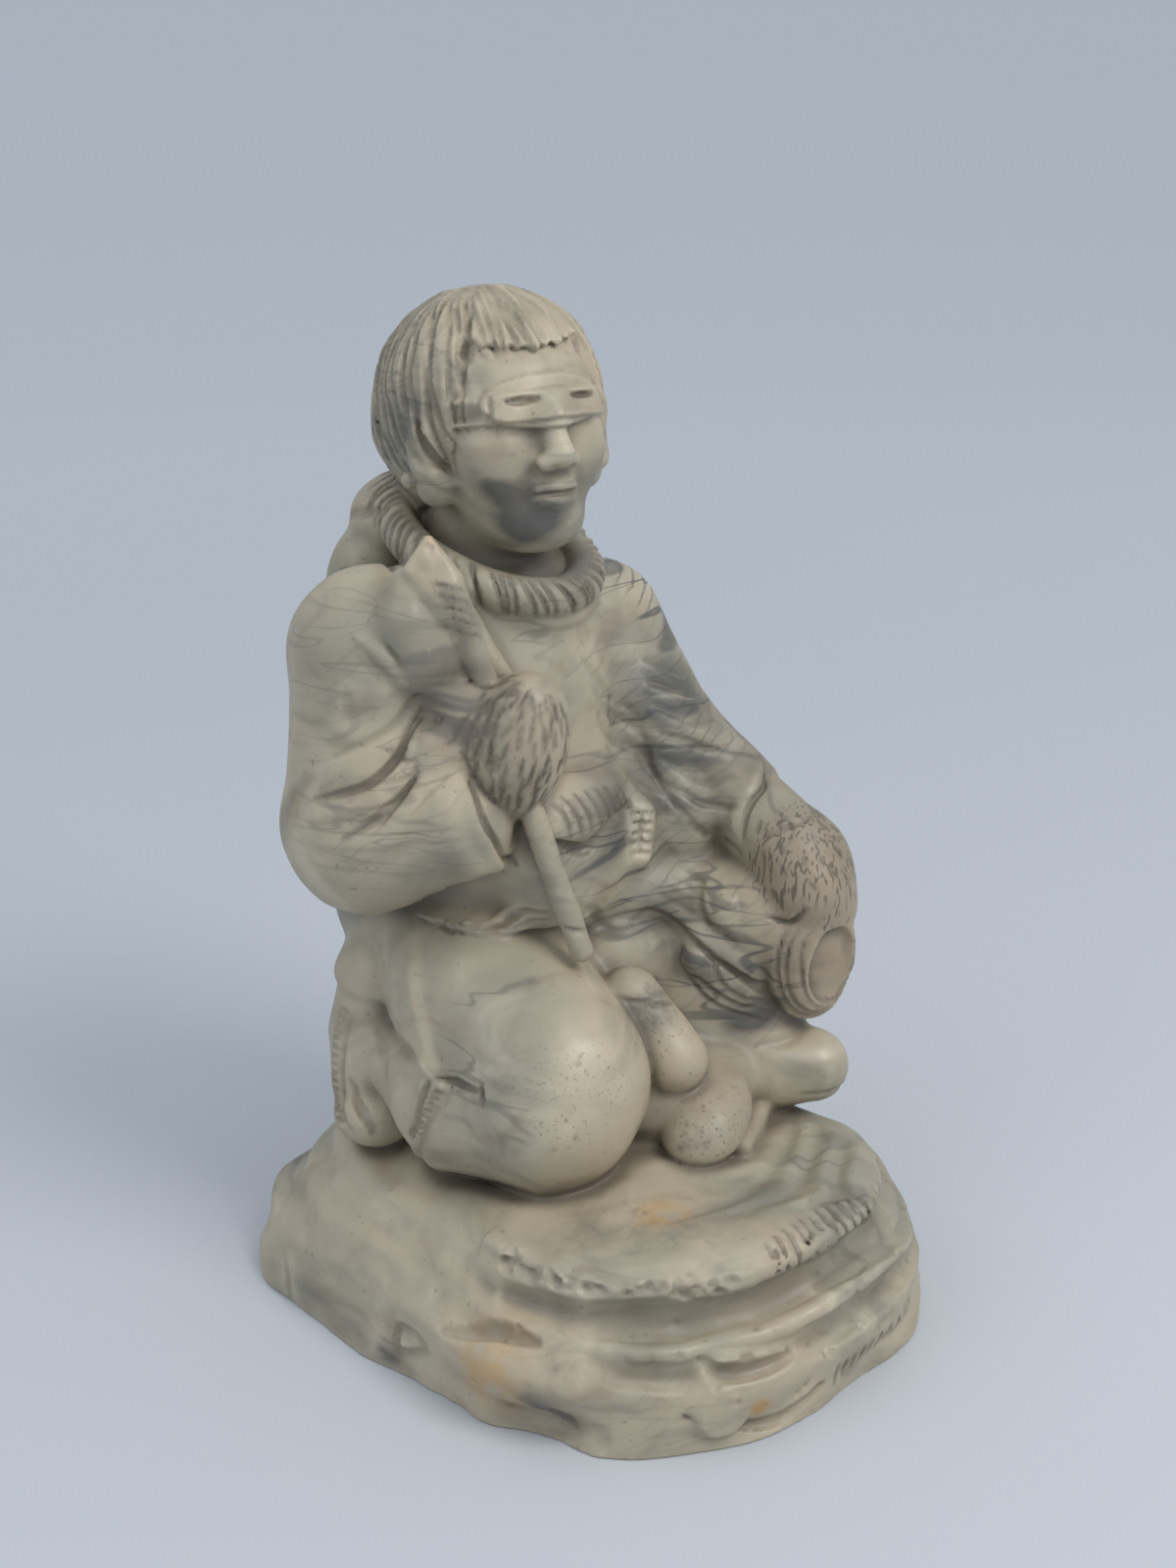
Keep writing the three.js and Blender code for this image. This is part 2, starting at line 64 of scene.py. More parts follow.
# ---------- landmarks of the figure ----------
FAR = 60.0  # the distance that empty clay starts with
LOW = np.array([-104.0, -116.0, -3.0])
HIGH = np.array([76.0, 104.0, 300.0])
BASE_TOP = 47
ROCK_REACH = 54  # the rock's lumps end at this height
ROCK_MIDDLE = (-18, -12)
SHOULDER = 0.8  # 1 would give a plain oval, less gives squarer shoulders
TOP_SWELL = 2.4  # how far a ledge's top rises and sinks
HEAD = np.array([0.0, 43.0, 259.0])
LEAN = -12
TURN = -17
FACE = (LEAN, 0, TURN)
COLLAR = (0, 46, 219)
COLLAR_SIZE = (27, 31, 6)
COLLAR_TILT = 22

JOINT = {
    "shoulderR": (-47, 48, 195),
    "elbowR": (-55, 43, 145),
    "wristR": (-44, 6, 155),
    "mittR": (-34, 5, 172),
    "shoulderL": (37, 38, 188),
    "elbowL": (47, 17, 154),
    "wristL": (49, -14, 135.5),
    "mittL": (47, -38.5, 122),
    "hipR": (-24, 44, 100),
    "kneeR": (-37, -9, 74),
    "shinR": (-40, -12, 68),
    "cuffR": (-58, 17, 66),
    "hipL": (24, 42, 96),
    "kneeL": (43, -24, 106),
    "ankleL": (44, -26, 66),
    "toeL": (45, -46, 60),
}
SHAFT = ((-44.5, 18.2, 219), (-25.5, -13.2, 112))


# ---------- sums with points ----------
def add(a, b):
    return tuple(np.add(a, b))


def between(a, b, t):
    return tuple(np.add(a, np.multiply(np.subtract(b, a), t)))


def moved(points, step):
    return [add(p, step) for p in points]


def smooth(t):
    """An even rise from 0 to 1, level at both ends."""
    s = np.clip(t, 0, 1)
    return s * s * (3 - 2 * s)


def spin(x, y, degrees):
    """A place in a plane, turned about the origin."""
    c, s = cos(radians(degrees)), sin(radians(degrees))
    return x * c - y * s, x * s + y * c


def turning(turn):
    """The matrix that turns about X, then Y, then Z, in degrees."""
    made = np.eye(3)
    for axis, degrees in enumerate(turn):
        a, b = (axis + 1) % 3, (axis + 2) % 3
        step = np.eye(3)
        c, s = cos(radians(degrees)), sin(radians(degrees))
        step[a, a], step[a, b], step[b, a], step[b, b] = c, -s, s, c
        made = step @ made
    return made


def on_head(place, side=1):
    """A place given in the head's own axes, with the face towards -Y; side -1 mirrors it."""
    back, up = spin(place[1], place[2], LEAN)
    x, y = spin(place[0] * side, back, TURN)
    return HEAD + (x, y, up)


def head_path(points, side=1):
    return [on_head(p, side) for p in points]


def on_collar(degrees, out, up):
    """A place round the collar's ring, out from its middle line and up from its plane."""
    x = (COLLAR_SIZE[0] + out) * cos(radians(degrees))
    y = (COLLAR_SIZE[1] + out) * sin(radians(degrees))
    back, rise = spin(y, up, COLLAR_TILT)
    return add(COLLAR, (x, back, rise))


# ---------- forms: a lowest corner, a highest corner and a distance ----------
def own_axes(centre, turn):
    """Turns places into a form's own axes, about its centre."""
    m = turning(turn)

    def bring(x, y, z):
        dx, dy, dz = x - centre[0], y - centre[1], z - centre[2]
        return [m[0, i] * dx + m[1, i] * dy + m[2, i] * dz for i in range(3)]

    return bring


def around(centre, reach, distance):
    return np.subtract(centre, reach), np.add(centre, reach), distance


def length(*parts):
    return np.sqrt(sum(p * p for p in parts))


def egg(centre, radii, turn=(0, 0, 0)):
    """An ellipsoid: its own measure times that measure less one, over the slope."""
    bring = own_axes(centre, turn)

    def distance(x, y, z):
        p = bring(x, y, z)
        k0 = length(*[v / r for v, r in zip(p, radii)])
        k1 = length(*[v / r**2 for v, r in zip(p, radii)])
        return k0 * (k0 - 1) / np.maximum(k1, 1e-6)

    return around(centre, max(radii), distance)


def head_egg(place, radii, side=1):
    return egg(on_head(place, side), radii, FACE)


def block(centre, half, rounding, turn=(0, 0, 0)):
    """A box with rounded edges: the length past its faces, less the rounding."""
    bring = own_axes(centre, turn)

    def distance(x, y, z):
        q = [np.abs(v) - h + rounding for v, h in zip(bring(x, y, z), half)]
        out = length(*[np.maximum(v, 0) for v in q])
        return out + np.minimum(np.maximum(np.maximum(q[0], q[1]), q[2]), 0) - rounding

    return around(centre, float(np.linalg.norm(half)), distance)


def ring(centre, rx, ry, thick, turn=(0, 0, 0)):
    """A round bar bent into an oval in its own XY plane."""
    bring = own_axes(centre, turn)

    def distance(x, y, z):
        px, py, pz = bring(x, y, z)
        k0 = length(px / rx, py / ry)
        k1 = length(px / rx**2, py / ry**2)
        return length(k0 * (k0 - 1) / np.maximum(k1, 1e-6), pz) - thick

    return around(centre, max(rx, ry) + thick, distance)


def limb(points, radii):
    """A round bar along a path, its radius changing evenly from point to point."""
    points = np.array([np.asarray(p, float) for p in points])
    r = np.broadcast_to(np.asarray(radii, float), (len(points),))
    reach = r.max()

    def distance(x, y, z):
        best = None
        for a, b, ra, rb in zip(points[:-1], points[1:], r[:-1], r[1:]):
            ab = b - a
            dx, dy, dz = x - a[0], y - a[1], z - a[2]
            t = np.clip((dx * ab[0] + dy * ab[1] + dz * ab[2]) / max(ab @ ab, 1e-9), 0, 1)
            d = length(dx - ab[0] * t, dy - ab[1] * t, dz - ab[2] * t) - ra - (rb - ra) * t
            best = d if best is None else np.minimum(best, d)
        return best

    return points.min(0) - reach, points.max(0) + reach, distance


def sleeve(a, b, ra, rb, rounding):
    """A limb with flat ends, for sleeve ends and trouser cuffs."""
    a, b = np.array(a, float), np.array(b, float)
    long = float(np.linalg.norm(b - a))
    way = (b - a) / long

    def distance(x, y, z):
        dx, dy, dz = x - a[0], y - a[1], z - a[2]
        t = dx * way[0] + dy * way[1] + dz * way[2]
        r = np.sqrt(np.maximum(dx * dx + dy * dy + dz * dz - t * t, 0))
        side = r - ra - (rb - ra) * np.clip(t / long, 0, 1) + rounding
        end = np.abs(t - long / 2) - long / 2 + rounding
        inside = np.minimum(np.maximum(side, end), 0)
        return inside + length(np.maximum(side, 0), np.maximum(end, 0)) - rounding

    reach = max(ra, rb)
    return np.minimum(a, b) - reach, np.maximum(a, b) + reach, distance


def ledge(centre, half, corners, z0, z1, rounding, wobble):
    """A layer of rock: in plan a rounded rectangle with a wobbling edge and an uneven top."""
    cx, cy = centre
    front_r, front_l, back = corners
    strength, lag = wobble

    def distance(x, y, z):
        angle = np.arctan2(y - cy, x - cx)
        corner = np.where(y > cy, back, np.where(x < cx, front_r, front_l))
        lift = TOP_SWELL * np.sin(2 * angle + z1 / 9)
        qx = np.abs(x - cx) - half[0] + corner
        qy = np.abs(y - cy) - half[1] + corner
        out = length(np.maximum(qx, 0), np.maximum(qy, 0))
        plan = out + np.minimum(np.maximum(qx, qy), 0) - corner
        side = plan - strength * rough(angle + lag, z) + rounding
        up = np.abs(z - lift - (z0 + z1) / 2) - (z1 - z0) / 2 + rounding
        inside = np.minimum(np.maximum(side, up), 0)
        return inside + length(np.maximum(side, 0), np.maximum(up, 0)) - rounding

    spare = np.array((8, 8, 2))
    low = np.array((cx - half[0], cy - half[1], z0)) - spare
    return low, np.array((cx + half[0], cy + half[1], z1)) + spare, distance


def region(low, high, planes):
    """The space behind planes, each given by a place on it and the way it faces."""

    def distance(x, y, z):
        best = None
        for place, facing in planes:
            f = np.array(facing) / np.linalg.norm(facing)
            d = (x - place[0]) * f[0] + (y - place[1]) * f[1] + (z - place[2]) * f[2]
            best = d if best is None else np.maximum(best, d)
        return best

    return np.array(low, float), np.array(high, float), distance


# ---------- clay ----------
class Clay:
    """A block of distances on an even grid, below zero inside the stone."""

    MARGIN = 7  # the least distance beyond a pressed form that is worked
    FLATTEST = 0.15  # the least slope that settling counts on, squared
    LONGEST_STEP = 2.5
    FADE = (0.08, 0.92)  # a groove's ends, as shares of a half turn
    STEEPEST = 1.8  # a groove's greatest depth, by its half width
    SPARE_DEPTH = 1.2  # no place sinks or rises by more than this times the depth
    RIDGE_SEAM, GROOVE_SEAM = 0.4, 0.3  # by the half width
    DARKENING_REACH = 0.55
    SOFT_REACH = 6  # distances beyond this count as this much when clay is evened out

    def __init__(self, cell):
        self.cell = cell
        self.size = np.round((HIGH - LOW) / cell).astype(int) + 1
        self.d = np.full(self.size, FAR, np.float32)
        self.ink = np.zeros(self.size, np.float32)

    def near(self, low, high, margin):
        """The part of the block round a box, and its places as three open rows."""
        a = np.maximum(np.floor((low - margin - LOW) / self.cell).astype(int), 0)
        b = np.minimum(np.ceil((high + margin - LOW) / self.cell).astype(int) + 1, self.size)
        rows = np.ix_(*[LOW[k] + self.cell * np.arange(a[k], max(a[k], b[k])) for k in range(3)])
        where = tuple(slice(a[k], max(a[k], b[k])) for k in range(3))
        return where, [r.astype(np.float32) for r in rows]

    def work(self, form, margin, change):
        where, places = self.near(form[0], form[1], margin)
        if 0 in self.d[where].shape:
            return
        self.d[where] = change(self.d[where], form[2](*places))

    def press(self, form, blend=2.0):
        self.work(form, max(blend + 3 * self.cell, self.MARGIN), lambda a, d: join(a, d, blend))

    def cut(self, form, blend=1.0):
        self.work(form, blend + self.cell, lambda a, d: -join(-a, d, blend))

    def rise(self, form, height, edge=1.0):
        self.work(form, edge, lambda a, d: a - height * smooth(0.5 - d / edge))

    def carve(self, form, depth, edge=1.0):
        self.rise(form, -depth, edge)

    def read(self, points):
        """The distance at places between the grid's, weighted evenly from the eight round them."""
        return blend_read(self.d, (np.asarray(points, float) - LOW) / self.cell)

    def slope(self, points):
        h = self.cell
        rows = [self.read(points + h * a) - self.read(points - h * a) for a in np.eye(3)]
        return np.stack(rows, -1) / (2 * h)

    def settle(self, points, turns=6):
        """Places moved down or up the slope until they lie on the surface."""
        p = np.array(points, float)
        for _ in range(turns):
            g = self.slope(p)
            steep = np.maximum((g * g).sum(-1, keepdims=True), self.FLATTEST)
            step = self.read(p)[..., None] * g / steep
            long = np.linalg.norm(step, axis=-1, keepdims=True)
            far = np.maximum(long / self.LONGEST_STEP, 1)
            p -= step / far
        return p

    def groove(self, points, half, depth, darkening=0.5, count=13):
        """A groove along the surface, or a ridge if its depth is below zero: a round bar of
        the radius that gives the width 2 * half at that depth, thinner towards both ends."""
        path = self.settle(curve(points, count))
        out = self.slope(path)
        out /= np.maximum(np.linalg.norm(out, axis=-1, keepdims=True), 1e-6)
        ends = np.sin(np.linspace(*self.FADE, count) * pi) ** 0.5
        wide = half * ends
        deep = np.minimum(abs(depth) * ends, self.STEEPEST * wide)
        radius = np.where(deep > wide, wide, (wide**2 + deep**2) / (2 * deep))
        bar = limb(path + out * (np.sign(depth) * (radius - deep))[:, None], radius)
        low, high = path.min(0) - half - 2, path.max(0) + half + 2
        where, places = self.near(low, high, 0)
        a, d = self.d[where], bar[2](*places)
        if 0 in a.shape:
            return
        limit = a + self.SPARE_DEPTH * depth
        if depth < 0:
            self.d[where] = np.maximum(join(a, d, self.RIDGE_SEAM * half), limit)
            return
        self.d[where] = np.minimum(-join(-a, d, self.GROOVE_SEAM * half), limit)
        # the colour is darkened along the cut, most at its bottom, by the darkening amount
        darkened = darkening * smooth(1 - d / self.DARKENING_REACH)
        self.ink[where] = np.maximum(self.ink[where], darkened)

    def soften(self, form, reach, edge):
        """Evens out the clay inside a form, less and less towards its edge."""
        where, places = self.near(form[0], form[1], edge)
        old = self.d[where]
        near = np.clip(old, -self.SOFT_REACH, self.SOFT_REACH)
        mean = mean_round(near, max(1, round(reach / self.cell)))
        self.d[where] = old + smooth(0.5 - form[2](*places) / edge) * (mean - old)


def join(a, b, blend):
    """The lower of two distances, with a rounded seam as wide as blend."""
    h = np.maximum(blend - np.abs(a - b), 0) / blend
    return np.minimum(a, b) - h * h * (blend / 4)


def curve(points, count=15):
    """Places along a smooth line through the points, by the Catmull-Rom rule."""
    p = np.array([np.asarray(v, float) for v in points])
    p = np.vstack([2 * p[0] - p[1], p, 2 * p[-1] - p[-2]])
    at = np.linspace(0, len(p) - 3 - 1e-6, count)
    i = at.astype(int)
    t = (at - i)[:, None]
    a, b, c, d = p[i], p[i + 1], p[i + 2], p[i + 3]
    bend = (2 * a - 5 * b + 4 * c - d) * t * t + (3 * b - a - 3 * c + d) * t**3
    return 0.5 * (2 * b + (c - a) * t + bend)


def blend_read(grid, at):
    """A grid's value between its points, from the eight round each place."""
    top = np.array(grid.shape) - 2
    i = np.clip(np.floor(at).astype(int), 0, top)
    f = np.clip(at - i, 0, 1)
    total = 0
    for corner in range(8):
        o = np.array([corner & 1, corner >> 1 & 1, corner >> 2])
        w = np.prod(np.where(o, f, 1 - f), axis=-1)
        j = i + o
        total = total + w * grid[j[..., 0], j[..., 1], j[..., 2]]
    return total


def rough(angle, z):
    """How far a ledge's edge comes out, by the way round and the height."""
    return 0.8 * np.sin(5 * angle + 0.11 * z) + 0.5 * np.sin(11 * angle - 0.2 * z + 2)


def lumps(shape, cell, step, rng):
    """Smooth even lumps: random heights on a coarse grid, eased between its points."""
    made = rng.standard_normal([int(n * cell / s) + 3 for n, s in zip(shape, step)])
    for axis, (n, s) in enumerate(zip(shape, step)):
        at = np.arange(n) * cell / s
        i = at.astype(int)
        t = smooth(at - i)
        side = [1, 1, 1]
        side[axis] = n
        t = t.reshape(side)
        made = np.take(made, i, axis) * (1 - t) + np.take(made, i + 1, axis) * t
    return made.astype(np.float32)


# ---------- the rock ----------
def rim(half, start, end, z, count=17):
    """A line round the rock at one height, in plan an oval with square shoulders."""
    a = np.radians(np.linspace(start, end, count))
    c, s = np.cos(a), np.sin(a)
    x = ROCK_MIDDLE[0] + half[0] * np.sign(c) * np.abs(c) ** SHOULDER
    y = ROCK_MIDDLE[1] + half[1] * np.sign(s) * np.abs(s) ** SHOULDER
    return np.stack([x, y, np.full_like(a, z)], -1)


def carve_rock(clay, rng):
    for *layer, blend in (
        ((-21, -11), (74, 95), (72, 52, 36), -14, 24, 4, (1, 0), 1),
        ((-19, -13), (70, 90), (68, 50, 44), 8, 34, 8, (1.6, 1), 4),
        ((-16, -12), (66, 84), (64, 48, 50), 22, BASE_TOP, 9, (1.4, 2), 5),
    ):
        clay.press(ledge(*layer), blend)
    clay.cut(region((-130, 0, -20), (0, 130, 80), [((-62, 62, 47), (0.8, -0.3, -0.62))]), 22)
    # the left end is worn smooth, without ledges
    clay.soften(egg((-88, 22, 26), (34, 48, 40)), 4, 14)
    where, _ = clay.near(LOW, np.array([HIGH[0], HIGH[1], ROCK_REACH]), 0)
    for height, step in ((0.6, (26, 26, 9)), (0.35, (11, 11, 4)), (0.16, (5, 5, 3))):
        clay.d[where] += height * lumps(clay.d[where].shape, clay.cell, step, rng)
    # the front edge: a chipped lip over a hollow band, then a lower shelf
    clay.groove(rim((68, 87), -168, -66, 36), 5.5, 3, 0.12)
    clay.groove(rim((66, 84), -160, -70, 43.5), 3, -1.4)
    clay.groove(rim((71, 91), -172, -40, 30), 2.6, -1.4)
    clay.groove(rim((73, 94), -150, -50, 23), 4.5, 2.4, 0.12)
    clay.groove([(-8, -92, 42), (8, -93, 40), (24, -90, 42), (38, -80, 44)], 3, 1.8, 0.3)
    clay.groove([(-20, -98, 33), (2, -99, 31), (22, -97, 33), (40, -86, 36)], 3.2, 2, 0.3)
    # strata on the top
    for i in range(6):
        y = -62 - 5 * i
        path = [(-44 + 8 * i, y, 47), (-18 + 5 * i, y - 6, 47), (12, y + 2, 47), (34, y + 14, 47)]
        clay.groove(path, 2.4, 0.8 * (-1) ** i, 0.15)
    # boulders and dips low on the front wall
    clay.groove([(-95, -26, 17), (-91, -42, 18), (-84, -58, 17), (-78, -68, 18)], 7, -3)
    clay.groove([(-96, -22, 25), (-92, -34, 26), (-86, -52, 25)], 3, 2)
    clay.groove([(-93, -46, 6), (-88, -58, 5), (-80, -70, 5)], 7, 3.4, 0.2)
    clay.groove([(-92, -62, 11), (-88, -66, 5)], 2, 1)
    clay.groove([(-66, -86, 12), (-56, -96, 6), (-42, -103, 4), (-28, -106, 9)], 1.8, 1.8)
    clay.groove([(-62, -89, 17), (-50, -98, 14), (-36, -103, 15)], 6, -1.8)
    clay.groove([(-62, -89, 26), (-52, -96, 20), (-38, -102, 22)], 2.6, 1.8, 0.2)
    hole = [(-93, -12, 16), (-95, -16, 12), (-94, -6, 8), (-92, -4, 14), (-93, -12, 16)]
    clay.groove(hole, 1.6, 1.2)
    # chips along the lip
    lip = clay.settle(rim((66, 84), -170, -112, 44, 40))
    for t in rng.uniform(0, 1, 80):
        n = t * (len(lip) - 1)
        i = min(int(n), len(lip) - 2)
        place = lip[i] + (lip[i + 1] - lip[i]) * (n - i) + rng.normal(0, (0.8, 0.8, 1.4))
        wide = rng.uniform(0.8, 2.0)
        turn = (rng.uniform(-30, 30), 0, rng.uniform(-60, 0))
        clay.carve(egg(place, (wide, wide * 1.6, wide * 0.8), turn), rng.uniform(0.6, 1.3), 1.0)
    for a in rng.uniform(-175, -20, 26):
        place = clay.settle(rim((74, 95), a, a, rng.uniform(6, 34), 1))[0]
        clay.carve(egg(place, (1.1, 1.1, 1.1)), 0.9, 0.9)


def carve_marks(clay, rng):
    """Two rows of shallow strokes on the rock, which spell nothing."""
    lean = (0.5, 0, 0)
    rows = (
        ((-34, -90, 44), (19, -92, 44), (0, 3.2, 1.2), 14),
        ((-22, -106, 9), (17, -104, 14), (0, 0, 3.4), 11),
    )
    for start, end, tall, count in rows:
        for t in np.linspace(0, 1, count):
            middle = between(start, end, t)
            half = (np.array(tall) + lean) * rng.uniform(0.75, 1.1)
            clay.groove([middle - half, middle, middle + half], 0.65, 0.8, 1.0, 6)


# ---------- the legs ----------
def carve_legs(clay):
    j = JOINT
    clay.press(limb([j["hipR"], between(j["hipR"], j["kneeR"], 0.5), j["kneeR"]], [25, 31, 31]), 4)
    clay.press(limb([j["shinR"], add(j["cuffR"], (5, -8, 0))], [27, 20]), 2)
    clay.press(sleeve(j["shinR"], j["cuffR"], 25, 20, 3), 2)
    clay.press(limb([(-44, 54, 90), (-49, 52, 74), (-54, 48, 60)], [12, 13.5, 12]), 3)
    clay.press(egg((-59, 41, 53), (12, 13, 9.5)), 2)
    clay.press(limb([j["cuffR"], (-50, 44, 72)], [12, 10]), 3)
    clay.press(limb([j["hipL"], j["kneeL"]], [25, 21]), 4)
    clay.press(egg((24, -8, 72), (22, 22, 26)), 6)
    clay.press(limb([j["kneeL"], j["ankleL"]], [17, 13]), 4)
    clay.press(limb([(30, -18, 90), (36, -24, 72)], [17, 15]), 6)
    clay.press(limb([add(j["ankleL"], (0, 0, 2)), add(j["ankleL"], (0, 2, -10))], [13, 12]), 3)
    clay.press(limb([(30, -16, 60), (36, -36, 59), j["toeL"]], [14, 12.5, 11.5]), 6)
    clay.soften(egg((34, -26, 72), (22, 20, 16)), 3, 8)


def carve_leg_seams(clay):
    # the notch behind the bent knee
    clay.groove([(-69, 4, 82), (-66, -4, 81.5), (-64, -12, 81)], 1.3, 1.6, 0.6)
    clay.groove([(-65, -12, 84), (-65, -13, 81), (-66, -13, 78)], 1, 1.4, 0.6, 6)
    # the left boot's sole, and where its upper meets the leg
    clay.groove([(33, -52, 54), (42, -58, 54), (52, -54, 54)], 1.2, 0.8, 0.4)
    clay.groove([(28, -38, 70), (36, -44, 71), (46, -42, 71)], 2.0, 0.9, 0.3)
    # the trouser cuff and its stitches
    cuff = [(-68, 2, 79), (-73, 3, 74), (-76, 5.5, 68), (-75, 9, 60), (-70, 14, 52)]
    clay.groove(cuff, 2.4, -1.3)
    clay.groove(moved(cuff, (2.4, -3.2, 0.4)), 0.9, 0.7, 0.3)
    clay.groove(moved(cuff[:4], (-1.2, 4, 0)), 1.8, 2.2, 0.7)
    for p in curve(cuff, 15)[1:-1]:
        clay.groove([p + (-1.2, 1.5, 0.3), p + (1.2, -1.5, -0.3)], 0.8, 0.8, 0.9, 4)
    # the boot's sole is turned back and stitched
    sole = [(-58, 53, 85), (-62, 54, 78), (-64.5, 53, 68), (-67, 50, 59), (-71, 42, 53)]
    clay.groove(sole, 2.2, -1.3)
    clay.groove(moved(sole, (-2.2, -4.4, 0)), 1.0, 0.8, 0.5)
    for p in curve(sole, 17)[1:-1]:
        clay.groove([p + (-0.6, -2.2, 0), p + (0.3, 0.9, 0)], 0.8, 0.8, 0.9, 4)
    # creases of the boot where the foot bends
    clay.groove([(-57, 41, 81), (-60, 34, 76), (-64, 27, 70)], 2.2, 0.9, 0.3)
    clay.groove([(-66, 42, 60), (-70, 34, 58), (-74, 26, 56)], 1.4, 1.3, 0.6)
    clay.groove([(-67, 45, 66), (-70, 38, 63), (-73, 30, 60)], 1.3, 0.9, 0.4)


# ---------- the body ----------
def carve_body(clay):
    j = JOINT
    clay.press(egg((0, 56, 110), (47, 36, 34)), 6)
    clay.press(egg((2, 50, 84), (34, 28, 34)), 8)
    clay.press(egg((0, 37, 137), (43, 41, 34)), 8)
    clay.press(egg((-3, 44, 170), (44, 36, 42)), 8)
    clay.press(egg((0, 62, 146), (40, 30, 62)), 8)
    web = [(-39, 27, 208), (-32, 15, 184), (-24, 12, 150), (-19, 7, 122)]
    clay.press(limb(web, [8, 9, 11, 10]), 6)
    clay.press(limb([j["shoulderR"], j["shoulderL"]], [24, 20]), 8)
    clay.press(limb([(30, 26, 176), (34, 2, 134)], [14, 16]), 6)
    clay.press(limb([(0, 48, 214), (0, 46, 240)], [20, 17]), 4)
    clay.press(egg((0, 42, 211), (27, 30, 8), (22, 0, 0)), 4)
    clay.press(egg((22, 4, 112), (24, 18, 14), (-20, 0, -20)), 4)
    clay.press(egg((-4, 8, 128), (24, 14, 22)), 5)
    clay.press(egg((-8, 6, 148), (23, 13, 11), (24, 0, 10)), 2)
    clay.press(egg((14, 3, 134), (12, 9, 15)), 5)
    parka = ((-100, -60, 60), (100, 130, 186))
    tail = region(*parka, [((-60, 5.5, 81.6), (0, -1, 0.83)), ((-60, 5.5, 81.6), (0, 0.16, -1))])
    front = region(*parka, [((-14, 4, 115.5), (0, 0, -1))])
    where, (x, y, z) = clay.near(tail[0], tail[1], 0)
    lift = np.maximum(smooth(0.5 - tail[2](x, y, z) / 4), smooth(0.5 - front[2](x, y, z) / 2))
    # the step fades out upwards, and towards the left hip
    clay.d[where] -= 1.8 * lift * smooth((160 - z) / 45) * smooth((8 - x) / 22)


def carve_lap(clay):
    # the belly hangs over the lap in a striped fold
    clay.groove([(-27, -4, 143), (-16, -7, 138), (-7, -8, 143), (7, -6, 147)], 2.6, 2.2, 0.5)
    for t in np.linspace(0, 1, 8):
        x = -26 + 30 * t
        clay.groove([(x, -5, 159 - 4 * t), (x + 2, -8, 150 - 2 * t), (x + 3, -8, 144)], 0.8, 0.5, 1.0)
    # the worked hem over the right thigh
    hem = [(-53, 28, 115), (-46, 14, 117), (-37, 4, 117), (-28, -2, 116)]
    for k in range(3):
        clay.groove(moved(hem, (0, 0, 2.6 * k)), 0.9, 0.8, 0.7)
        clay.groove(moved(hem, (0, 0, 2.6 * k + 1.3)), 1.3, -0.6)
    # the apron swings over the left thigh and its hem overhangs the stones
    clay.press(limb([(17, -22, 98), (27, -32, 87)], [5, 4]), 3)
    edge = [(2, -11, 112), (9, -12, 112), (15, -16, 107), (18, -24, 101), (23, -31, 95), (29, -37, 88)]
    clay.groove(moved(edge, (0.5, 0, 3)), 3.2, -1.2)
    clay.groove(edge, 1.2, 0.9, 0.8)
    for k in range(5):
        t = k / 4
        a = between((12, -16, 101), (24, -27, 98), t)
        b = between((17, -27, 86), (29, -34, 92), t)
        clay.groove([a, b, between((33, -37, 76), (35, -38, 87), t)], 0.9, 0.8, 0.9)
    for k in range(4):
        path = [(12 + 4 * k, -12, 118 + k), (19 + 3 * k, -20, 112), (28 + 3 * k, -29, 104)]
        clay.groove(path, 1.0, 0.6, 0.5)
        clay.groove(moved(path, (1.5, 0, 2)), 2.6, -0.6)
    clay.groove([(-14, -8, 128), (-4, -11, 122), (4, -10, 124)], 2, 0.8, 0.3)
    clay.groove([(-18, -6, 122), (-10, -9, 114), (-2, -9, 110)], 2, 0.8, 0.3)


# ---------- the arms ----------
def carve_arms(clay):
    j = JOINT
    clay.press(limb([j["shoulderR"], j["elbowR"]], [23.5, 25]), 4)
    clay.press(limb([j["elbowR"], between(j["elbowR"], j["wristR"], 0.7)], [25, 18]), 4)
    clay.press(sleeve(j["elbowR"], j["wristR"], 24, 17.5, 3), 4)
    clay.press(limb([(-42, 26, 200), (-40, 22, 180), (-41, 20, 164)], 10), 6)
    clay.press(limb([j["shoulderL"], j["elbowL"]], [20, 16.5]), 4)
    clay.press(sleeve(j["elbowL"], j["wristL"], 16.5, 15, 2.5), 3)
    clay.press(limb([(33, 25, 178), (36, 8, 158)], [13, 13]), 6)


